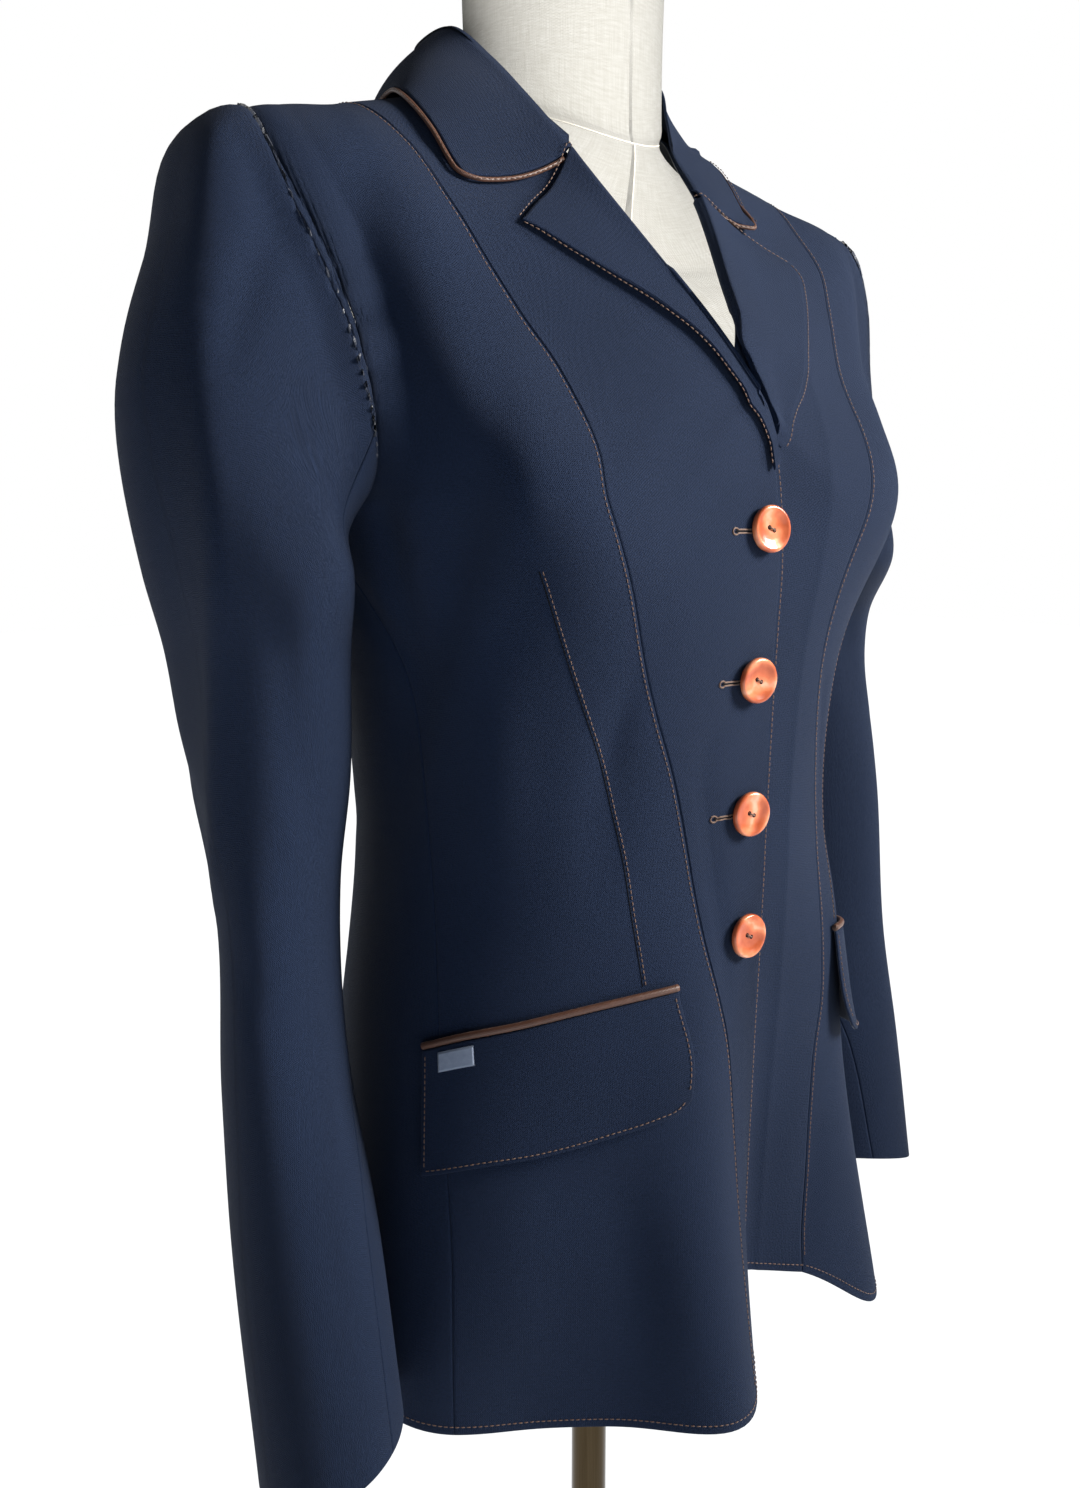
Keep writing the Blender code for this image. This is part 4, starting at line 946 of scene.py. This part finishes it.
# stand, fold and fall in one, the fall lifted clear of the panels under it
def collar():
    n = collarShape["count"]
    fold, edge, foot = (whole(f, b, n) for f, b in ((foldFront, foldBack), (edgeFront, edgeBack),
                                                    (footFront, footBack)))
    out = edge - fold
    out[:, 2] = 0
    out = unit(out)
    made = [foot + out * .001, foot * .5 + fold * .5 + out * .001 - [0, 0, .001]]
    i = np.arange(n) * (collarShape["coarse"] - 1) / (n - 1)
    last = collarShape["coarse"] - 1
    arch = (.010 * (1 - 1.8 * np.exp(-(np.minimum(i, last - i) / 2.4) ** 2))
            * (.8 + .2 / (1 + np.exp((i - last / 2) * 1.5))))
    for c in np.linspace(0, 1, 19):
        ctrl = fold * .45 + edge * .55 + (out + [0, 0, 1]) * arch[:, None]
        q = fold * (1 - c) ** 2 + 2 * c * (1 - c) * ctrl + edge * c * c
        made.append(q + [0, 0, .0015 * max(0, 1 - c * 9)])
    p = np.stack(made)
    fall = p[3:]
    for _ in range(3):
        fall = cleared(fall, underCollar, collarShape["clear"])
        fall[1:-1, 1:-1] = (fall[1:-1, 1:-1] * 2 + fall[:-2, 1:-1] + fall[2:, 1:-1]
                            + fall[1:-1, :-2] + fall[1:-1, 2:]) / 6
    fall = cleared(fall, underCollar, collarShape["clear"] - .0003)
    p = np.concatenate([p[:3], fall])
    return p, -gridNormals(p)


p, n = collar()
panels["collar"] = (None, p, n)
collarCloth = shell("collar_cloth", p, n, True, wall=collarShape["wall"], inside=wool)
hang(collarCloth, "collar")


def collarPiping():
    g, p, n = panels["collar"]

    def beside(edge, inner, n):
        return edge + unit(edge - inner) * collarShape["pipeOut"] - n * collarShape["pipeIn"]

    right, left = (beside(p[:, a], p[:, b], n[:, a])[4:] for a, b in ((0, 1), (-1, -2)))
    side = beside(p[-1], p[-2], n[-1])
    line = np.concatenate([right[:-1:2], side[1:-1:4], left[-2::-2]])
    line = along(line, np.linspace(0, 1, 260))
    line[1:-1] = (line[1:-1] * 2 + line[:-2] + line[2:]) / 4
    return cleared(line, underCollar, collarShape["pipeClear"])


cordLine = collarPiping()
toTip = np.linalg.norm(cordLine - panels["collar"][1][-1, -1], axis=1)
hidden = (cordLine[:, 0] > 0) * np.clip((toTip - .017) / .006, 0, 1) * (cordLine[:, 1] < .05)
pipe = tube("collar_piping_cord", cordLine, collarShape["pipe"] - .0008 * hidden, piping)
dress(pipe, "brown_piping", "collar_piping")
print("collar made")

# levels: height, centre x and y, half width inside and outside, half length, turn
sleeveShape = {
    "right": dict(levels=[(1.190, -.2090, .004, .0370, .0485, .062, 8),
                          (1.154, -.1995, .012, .0355, .0470, .060, 20),
                          (1.088, -.1930, .020, .0345, .0415, .056, 35),
                          (1.036, -.1925, .020, .0275, .0290, .055, 41),
                          (0.940, -.1960, .010, .0273, .0305, .052, 41),
                          (0.877, -.1985, -.009, .0300, .0365, .048, 41),
                          (0.773, -.2070, -.045, .0290, .0370, .045, 41)],
                  head=(-.2115, .002, .0540, .0355), dent=(.0120, 1.345, .045, -25, 60)),
    "left": dict(levels=[(1.190, .2085, .022, .0370, .0390, .062, 8),
                         (1.154, .1985, .030, .0355, .0370, .058, 20),
                         (1.088, .1915, .020, .0345, .0360, .056, 35),
                         (1.036, .1915, .011, .0275, .0285, .055, 41),
                         (0.940, .1960, .001, .0273, .0290, .052, 41),
                         (0.877, .1995, -.014, .0300, .0310, .048, 41),
                         (0.788, .2050, -.030, .0273, .0310, .044, 41)],
                 head=(.2035, .030, .0485, .031), dent=(.026, 1.323, .030, 36, 58))}
sleeveCut = {"backSeam": 238.0, "cuffTilt": .34, "rows": 133,
             "tuck": .0007, "sink": .0004,  # the sleeve starts this far under the armhole's edge
             "frontSeam": [(0, 92), (1, 104), (2, 117), (4, 133), (6, 145), (6.9, 144), (7.4, 133),
                           (8, 120), (9, 114)]}


# the sleeve's rounds: armhole, cap, then its levels; psi is 0 at the top and outside, 90 in front
def sleevePoints(side, psi, places):
    s, shape = signs[side], sleeveShape[side]
    loop = armLoop(psi)
    d = np.array([88, 1.275]) - loop
    loop = loop - d / np.hypot(d[:, 0] * .0030, d[:, 1])[:, None] * sleeveCut["tuck"]
    a, _ = skin(loop[:, 0] * s, loop[:, 1], -sleeveCut["sink"])
    c, q = np.cos(np.radians(psi)), np.sin(np.radians(psi))
    up = np.clip(c, 0, 1)
    cap = a + np.stack([s * (.0005 * up + .0032), -.005 * q, .0034 * up - .003], -1)
    mx, my, far, near = shape["head"]
    m = np.stack([mx + s * np.where(c > 0, far, near) * c, my - np.where(q > 0, .053, .064) * q,
                  a[:, 2] * .45 + 1.19 * .55], -1)
    flush = np.clip((60 - abs((psi + 180) % 360 - 180 - 75)) / 30, 0, 1)
    flush = (np.clip(q, 0, 1) * flush)[:, None]
    cap = cap * (1 - flush) + (a + (m - a) * .10) * flush
    ctrl = [a, cap, m]
    for z, cx, cy, near, far, half, turn in shape["levels"]:
        b, r = np.radians(psi + turn), np.radians(turn)
        hw = np.where(np.cos(b) > 0, far, near)
        x = cx + s * (hw * np.cos(b) * np.cos(r) + half * np.sin(b) * np.sin(r))
        y = cy + hw * np.cos(b) * np.sin(r) - half * np.sin(b) * np.cos(r)
        tilt = sleeveCut["cuffTilt"] * ((cy - y) * .66 - s * (x - cx) * .75) * (z < .8)
        ctrl.append(np.stack([x, y, z + tilt], -1))
    ctrl = np.stack(ctrl)
    step = np.linalg.norm(np.diff(ctrl, axis=0), axis=-1)
    made = np.empty((len(psi), len(places), 3))
    for i in range(len(psi)):
        knots = np.concatenate([[0], np.cumsum(step[:, i])])
        made[i] = smooth(knots, ctrl[:, i], np.interp(places, np.arange(len(knots)), knots))
    deep, level, high, way, wide = shape["dent"]
    dent = deep * hill(made[..., 2], level, high) * hill(psi, way, wide)[:, None]
    dent *= np.clip((np.asarray(places) - .7) / .9, 0, 1)
    return pushed(made - dent[..., None] * np.array([s * .75, -.66 * s, 0]), side)


sleeveRows = np.interp(np.linspace(0, 1, sleeveCut["rows"]), [0, .07, .24, .36, 1], [0, 1, 2, 3, 9])
sleeveCreases = {  # lines as (way round, row), then width and depth, metres
    "right": [([(31, 1.5), (40, 1.83), (43, 2.27), (37, 2.85), (29, 3.9), (24, 4.65), (15, 5.4),
                (-5, 6.0)], .009, -.0030),
              ([(8, 1.4), (14, 1.83), (16, 2.27), (10, 2.85), (2, 3.9), (-4, 4.65), (-14, 5.4)],
               .022, .0055),
              ([(20, 1.1), (36, 1.2), (43, 1.43), (48, 1.8)], .008, .0022),
              ([(59, 3.15), (64, 3.88), (71, 4.45), (82, 4.95), (94, 5.48)], .011, .0022),
              ([(88, 2.4), (80, 3.2), (74, 3.9)], .012, -.0012),
              ([(30, 6.2), (60, 6.5), (95, 6.6)], .010, .0014),
              ([(-60, 4.4), (-30, 4.9), (-5, 5.2)], .014, .0022),
              ([(200, 4.2), (230, 4.8), (262, 5.2)], .012, .0022)],
    "left": [([(-25, 3.2), (-10, 4.2), (5, 5.2)], .012, .0022),
             ([(60, 4.4), (40, 5.0), (15, 5.5)], .011, .0018),
             ([(120, 3.4), (95, 4.2), (80, 5.0)], .011, .0018),
             ([(200, 4.2), (230, 4.8), (262, 5.2)], .012, .0022)]}


def sleeve(side):
    back, seam = sleeveCut["backSeam"], np.array(sleeveCut["frontSeam"], float)
    around = np.linspace(back - 368, back + 8, 189)
    rounds = sleevePoints(side, around, sleeveRows)
    for start, n in (("upper_sleeve_", 87), ("under_sleeve_", 57)):
        columns = []
        for k, row in enumerate(sleeveRows):
            front = float(smooth(seam[:, 0], seam[:, 1], row))
            a0, a1 = (back - 360, front) if start == "upper_sleeve_" else (front, back)
            d = (a1 - a0) / (n - 1)
            columns.append(smooth(around, rounds[:, k], np.linspace(a0 - d, a1 + d, n + 2)))
        p = np.stack(columns, 1)
        gn = gridNormals(p) * signs[side]
        p = p + gn * (jacket["wall"] * np.clip(sleeveRows / .5, 0, 1))[None, :, None]
        shift = np.zeros(p.shape[:2])
        for line, width, depth in sleeveCreases[side]:
            path = along(line, np.linspace(0, 1, 40))
            spine = np.concatenate([sleevePoints(side, np.array([a]), np.array([r]))[0]
                                    for a, r in path])
            fade = np.sin(np.linspace(.04, .96, len(spine)) * np.pi) ** .6
            d2 = ((p[:, :, None] - spine) ** 2).sum(-1)
            shift += depth * (fade * np.exp(-d2 / width**2)).max(-1)
        p = p - gn * shift[..., None]
        gn = gridNormals(p) * signs[side]
        p, gn = p[1:-1], gn[1:-1]
        panels[start + side] = (None, p, gn)
        hang(shell(start + side + "_cloth", p, gn, side == "right"), start + side)


sleeve("right")
sleeve("left")
print("sleeves made")

# top and low edges of the pocket flaps as (angle, level)
flapShape = {
    "right": dict(top=[(-17.5, .982), (-24, .980), (-37.5, .975), (-51.5, .968), (-66, .960),
                       (-75, .953)],
                  low=[(-15.3, .9285), (-17.3, .9225), (-21.5, .918), (-31.5, .911), (-44.5, .904),
                       (-58.5, .899), (-72.5, .891)]),
    "left": dict(top=[(37, .981), (44, .979), (56, .974), (69, .967), (81, .960), (91, .954)],
                 low=[(36, .927), (38.5, .922), (44, .918), (56, .913), (69, .907), (81, .900),
                      (91, .894)])}


def flap(side):
    s = signs[side]
    u, w = np.linspace(0, 1, 67), np.linspace(0, 1, 31)
    top, low = (along(flapShape[side][k], u) for k in ("top", "low"))
    bow = np.stack([np.sin(w ** 1.3 * np.pi) * 1.5, 0 * w], -1)
    front = top[0] * (1 - w[:, None]) + low[0] * w[:, None] - bow * s
    rear = top[-1] * (1 - w[:, None]) + low[-1] * w[:, None]
    low = low.copy()
    low[0] = front[-1]
    g = coons(front, rear, top, low)[:, ::-1]
    stand = .0016 if side == "right" else .009 * (1 - u[:, None]) ** 2
    hangOut = .0034 + stand * w[None, ::-1] ** 1.3
    p, n = skin(g[..., 0], g[..., 1], hangOut)
    panels["flap_" + side] = (g, p, n)
    cloth = shell("flap_" + side + "_cloth", p, gridNormals(p) * s, s < 0, wall=.0018)
    hang(cloth, "flap_" + side)
    line = skin(*(top + (0, .0022)).T, .0024)[0]
    cord = tube("flap_piping_" + side + "_cord", along(line, np.linspace(0, 1, 80)), .0018, piping)
    dress(cord, "brown_piping", "flap_piping_" + side)


flap("right")
flap("left")


def tab():
    u, w = np.meshgrid(np.linspace(.92, .77, 21), np.linspace(4.02, 4.80, 9), indexing="ij")
    a = onPanel("flap_right", u, w)
    n = onPanel("flap_right", u, w, 1.0) - a
    piece = shell("flap_tab_weave", a + n * .0011, n, False, wall=.0007, outside=tabWeave,
                  inside=tabWeave)
    dress(piece, "tab_grey", "flap_tab")


tab()
print("pockets made")

buttonShape = {"radius": .0115, "levels": (1.208, 1.134, 1.066, 1.002), "hole": .0011,
               "apart": .0017, "sides": 72, "tilt": .14, "grain": (.6, 2.2, 1.2, 2.9),
               "profile": [(.30, .0002), (.80, 0), (.93, .0005), (1.0, .0014), (1.0, .0028),
                           (.965, .0037), (.90, .0040), (.80, .0038), (.66, .0031), (.45, .0027),
                           (.24, .0026)]}


def pearlDisc(name, finish, centre, x, y, z):
    q = np.linspace(0, 2 * np.pi, buttonShape["sides"], endpoint=False)
    rings, flats = [], []
    for share, height in buttonShape["profile"]:
        flat = buttonShape["radius"] * share * np.stack([np.cos(q), np.sin(q)], -1)
        rings.append(centre + flat[:, :1] * x + flat[:, 1:] * y + z * height)
        flats.append(flat)
    uv = np.concatenate(flats + [np.zeros((2, 2))]) + .05
    return lathe(name, rings, finish, uv)


def buttons():
    u, w = np.meshgrid(np.linspace(0, .6, 61), np.linspace(0, 15, 301), indexing="ij")
    face = onPanel("front_right", u, w)
    nrm = onPanel("front_right", u, w, 1.0) - face
    for k, level in enumerate(buttonShape["levels"]):
        name = "button_%d" % (k + 1)
        low, high = (np.array(a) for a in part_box(name))
        m = np.unravel_index(np.argmin(abs(face[..., 0]) + abs(face[..., 2] - level)), u.shape)
        z = unit(nrm[m])
        centre = (low + high) / 2 - z * .0012
        z = unit(z - unit(np.cross([0, 0, 1.0], z)) * buttonShape["tilt"])
        x = unit(np.cross([0, 0, 1.0], z))
        y = np.cross(z, x)
        turned = pearlFinish(name + "Pearl", buttonShape["grain"][k], k * 1.7)
        dress(pearlDisc(name + "_pearl", turned, centre, x, y, z), "bronze_button", name)
        between = (x * .9 + y * -.43) * buttonShape["apart"]
        for hole in (-1, 1):
            q = np.linspace(0, 2 * np.pi, 16, endpoint=False)[:, None]
            at, ring = centre + hole * between, np.cos(q) * x + np.sin(q) * y
            # each hole is a small pit lined with near-black painted shade
            pit = [at + buttonShape["hole"] * r * ring + z * h
                   for r, h in ((1.0, .0018), (1.0, .00268), (.9, .00275), (.5, .0026))]
            dress(lathe("%s_hole_%d" % (name, (hole + 3) // 2), pit, paintedShade), "bronze_button")
        tie = [centre + part * between + z * h
               for part, h in ((-1, .0022), (-.8, .0031), (0, .0033), (.8, .0031), (1, .0022))]
        tie = tube(name + "_thread", along(tie, np.linspace(0, 1, 16)), .00042, thread)
        dress(tie, "bronze_button")


buttons()
print("buttons made")

formShape = {
    "inset": .0085, "seat": .0021, "bottom": .800, "neckRadius": .0545, "neckY": .027,
    "pole": .0105, "sides": 144, "hips": (.07, .24),
    "levels": [.800, .812, .86, .92, .98, 1.04, 1.10, 1.15, 1.19, 1.225, 1.26, 1.29, 1.318, 1.342,
               1.366, 1.388],
    "neck": [  # height at the front, side and back, radius
             (1.396, 1.413, 1.408, .0555), (1.410, 1.428, 1.425, .0535),
             (1.440, 1.446, 1.447, .0532), (1.470, 1.470, 1.470, .0535),
             (1.505, 1.505, 1.505, .0545)],
    "cap": [(.0004, 0), (.003, 0), (.0045, .0015), (.0058, .005), (.0066, .012), (.0076, .025),
            (.008, .040)],  # above the neck, in from its radius
    "foot": [(.174, 0), (.175, .001), (.175, .0095), (.1738, .0118), (.1715, .0132), (.168, .0141),
             (.12, .0162), (.07, .0180), (.032, .0197), (.024, .0212), (.0195, .0236),
             (.018, .0260)]}


def form():
    shape = formShape
    q = np.linspace(0, 360, shape["sides"], endpoint=False)
    c, s = np.cos(np.radians(q)), np.sin(np.radians(q))
    made = []
    for k, v in enumerate(shape["levels"]):
        seat = hill(v, 1.362, .018) * np.exp(-((abs(q - 180) - 90) / 15) ** 2)
        inset = shape["inset"] + (0 if k else .006) + (.006 if v > 1.38 else 0)
        p, _ = skin(q, v, (shape["inset"] - shape["seat"]) * seat - inset, False)
        for axis, slim in enumerate(shape["hips"]):
            p[:, axis] *= 1 - slim * min(1, max(0, (1.0 - v) / .2))
        if k == 0:
            p[:, 2] = shape["bottom"]
        p[:, 0] -= np.sign(s) * s ** 4 * .012 * hill(v, 1.32, .03)
        made.append(p)
    for front, mid, back, r in shape["neck"]:
        h = mid + (np.where(c > 0, front, back) - mid) * c * c
        made.append(np.stack([s * r, shape["neckY"] - c * r, h], -1))
    made = np.stack(made)
    last = len(made) - 1
    fine = smooth(np.arange(last + 1), made, np.linspace(0, last, last * 5 + 1))
    cap = []
    for h, step in shape["cap"]:
        r = shape["neckRadius"] - step
        cap.append(np.stack([s * r, shape["neckY"] - c * r, made[-1, :, 2] + h], -1))
    seams = {"neck": np.concatenate([fine[82], fine[82][:1]]), "front": fine[20:83, 0]}
    linens = [dress(lathe("form_torso_linen", fine, linen), "cream_linen", "form_torso")]
    for name, line in seams.items():
        cord = tube("form_seam_" + name, line, .0004, linenEdge, 8)
        linens.append(dress(cord, "cream_linen"))
    linens.append(dress(lathe("form_neck_cap_linen", cap, linen), "cream_linen", "form_neck_cap"))
    for piece in linens:
        litGroups["form"].objects.link(piece)
    q = np.linspace(0, 2 * np.pi, 64, endpoint=False)

    def turned(profile):
        return [np.stack([np.cos(q) * r, np.sin(q) * r, h + 0 * q], -1) for r, h in profile]

    pole = [(shape["pole"], h) for h in np.linspace(.0264, shape["bottom"] - .0004, 24)]
    dress(lathe("form_pole_chrome", turned(pole), chrome), "pole_chrome", "form_pole")
    dress(lathe("form_foot_paint", turned(shape["foot"]), paint), "foot_black", "form_foot")


form()
print("form made")

stitchShape = {"pitch": .0029, "length": .0021, "radius": .00030, "sides": 5, "sink": .00002,
               "crown": .00012,
               "template": [(-.5, .25), (-.34, .85), (0, 1.0), (.34, .85), (.5, .25)]}


# each stitch is a short, rounded bit of thread
def stitches(name, *lines):
    verts, faces, shape = [], [], stitchShape
    sides = shape["sides"]
    around = np.linspace(0, 2 * np.pi, sides, endpoint=False)
    for path, normals in lines:
        run = np.concatenate([[0], np.cumsum(np.linalg.norm(np.diff(path, axis=0), axis=1))])

        def at(place, field):
            return np.array([np.interp(place, run, field[:, j]) for j in range(3)])

        count = max(1, int(run[-1] / shape["pitch"]))
        for k in range(count):
            middle = (k + .5) * run[-1] / count
            spots = [at(middle + f * shape["length"], path) for f, r in shape["template"]]
            up = unit(at(middle, normals))
            across = unit(np.cross(unit(spots[-1] - spots[0]), up))
            start = len(verts)
            for spot, (f, r) in zip(spots, shape["template"]):
                centre = spot + up * (shape["sink"] + shape["crown"] * (1 - (2 * f) ** 2))
                verts += [centre + shape["radius"] * r * (across * np.cos(a) + up * np.sin(a))
                          for a in around]
            for ring in range(4):
                for j in range(sides):
                    a, b = start + ring * sides + j, start + ring * sides + (j + 1) % sides
                    faces.append([b, a, a + sides, b + sides])
            faces.append([start + j for j in range(sides)])
            faces.append([start + 4 * sides + j for j in range(sides - 1, -1, -1)])
    dress(addMesh(name, np.array(verts), faces, [thread]), "brown_piping")


# a line on a panel beside a seam, with its normals
def seamPath(name, u, w, inset, fine=None):
    a = onPanel(name, u, w, fine=fine)
    n = unit(onPanel(name, u, w, 1.0, fine=fine) - a)
    return a + np.cross(n, unit(np.gradient(a, axis=0))) * inset, n


# how far across the front, half width, the eye's radius, drop below the button, thread, metres
holeShape = {"near": -.0085, "far": -.0225, "half": .0008, "eye": .0016, "drop": .0008,
             "cord": .00042}


def buttonholes():
    near, far, half, eye, drop, cord = holeShape.values()
    loop = ([(near, half), (far + eye * 1.2, half)]
            + [(far - eye * np.cos(a) * 1.2, -eye * np.sin(a)) for a in np.linspace(-2.5, 2.5, 15)]
            + [(far + eye * 1.2, -half), (near, -half)])
    for k, level in enumerate(buttonShape["levels"][:3]):
        # the slit inside each thread loop is a near-black line of painted shade
        for part, line, finish, slot, out in (
                ("hole", loop, thread, "brown_piping", .0002),
                ("slit", [(near, 0), (far, 0)], paintedShade, "navy_wool", .0001)):
            line = np.array(line) + (0, level - drop)
            step = np.linspace(0, len(line) - 1, 90)
            line = np.stack([np.interp(step, np.arange(len(line)), line[:, j]) for j in (0, 1)], -1)
            path = onPanel("front_right", *locate("front_right", line, True), out)
            name = "buttonhole_%d_%s" % (k + 1, part)
            dress(tube(name, path, cord, finish, 8, (.1, -1, .2)), slot)


buttonholes()

darts = {
    "right": [(-44, 1.190), (-42.5, 1.170), (-40, 1.144), (-37, 1.118), (-34.5, 1.098),
              (-32.5, 1.076), (-30, 1.050), (-28, 1.024), (-25.5, .996), (-24.7, .986)],
    "left": [(44, 1.185), (45.5, 1.152), (46, 1.10), (45, 1.05), (43, 1.01), (41.5, .986)]}
# how far each row of stitches lies from its seam or edge, metres
stitchIn = {"front": .0018, "hem": .0045, "dart": .0016, "lapel": .0019, "flap": .0024,
            "collar": .0026}
seamRun = np.linspace(.35, rows["all"] - 1, 400)
edgeRun, hemRun = np.linspace(.5, 14.2, 260), np.linspace(0, 1, 120)
lapelRun, lapelTop = np.linspace(1, 71.5, 200), np.linspace(1, .12, 60)
flapRun, flapDown = np.linspace(.02, .975, 140), np.linspace(29, 2.2, 60)
for side, sign in (("right", 1), ("left", -1)):
    front, sideName, leaf, pocket = (n + side for n in ("front_", "side_front_", "lapel_", "flap_"))
    inset = {key: sign * value for key, value in stitchIn.items()}
    stitches("stitches_front_" + side,
             seamPath(front, 1 + 0 * seamRun, seamRun, inset["front"]),
             seamPath(front, 0 * edgeRun, edgeRun, -inset["front"]))
    stitches("stitches_hem_" + side, *(
        seamPath(n, hemRun, 0 * hemRun, -inset["hem"])
        for n in (front, sideName, "side_panel_" + side, "back_" + side)))
    # each dart shows as a thin sunken near-black line: painted shade where its fold would throw
    # shadow
    u, w = locate(sideName, along(darts[side], np.linspace(0, 1, 160)))
    dart = tube("dart_%s_line" % side, onPanel(sideName, u, w, -.0001), .00035, paintedShade, 8)
    dress(dart, "navy_wool")
    stitches("stitches_dart_lapel_" + side,
             seamPath(sideName, u, w, inset["dart"]),
             seamPath(leaf, 1 + 0 * lapelRun, lapelRun, inset["lapel"], 1),
             seamPath(leaf, lapelTop, 72 + 0 * lapelTop, inset["lapel"], 1))
    stitches("stitches_flap_" + side,
             seamPath(pocket, 0 * flapDown, flapDown, -inset["flap"], 1),
             seamPath(pocket, flapRun, 0 * flapRun, -inset["flap"], 1),
             seamPath(pocket, 1 + 0 * flapDown, flapDown[::-1], -inset["flap"], 1))
last = panels["collar"][1].shape[1] - 1
fall, run = np.linspace(.2, .93, 60), np.linspace(1.4, last - 1.4, 600)
stitches("stitches_collar", *(
    seamPath("collar", u, w, stitchIn["collar"], 1)
    for u, w in ((fall, 0 * fall), (1 + 0 * run, run), (fall[::-1], last + 0 * fall))))
print("stitches made")

floor = addMesh("floor", [(-14, -14, 0), (14, -14, 0), (14, 14, 0), (-14, 14, 0)], [[0, 1, 2, 3]],
                [pale])
floor.location.z = -.0005
litGroups["floor"].objects.link(floor)
formCloth = [o for o in scene.objects if o.name.startswith("form_") and "linen" in o.name]
for thing in [floor] + formCloth:
    litGroups["jacket"].objects.link(thing)
for entry in litGroups["jacket"].collection_objects:
    entry.light_linking.link_state = "EXCLUDE"
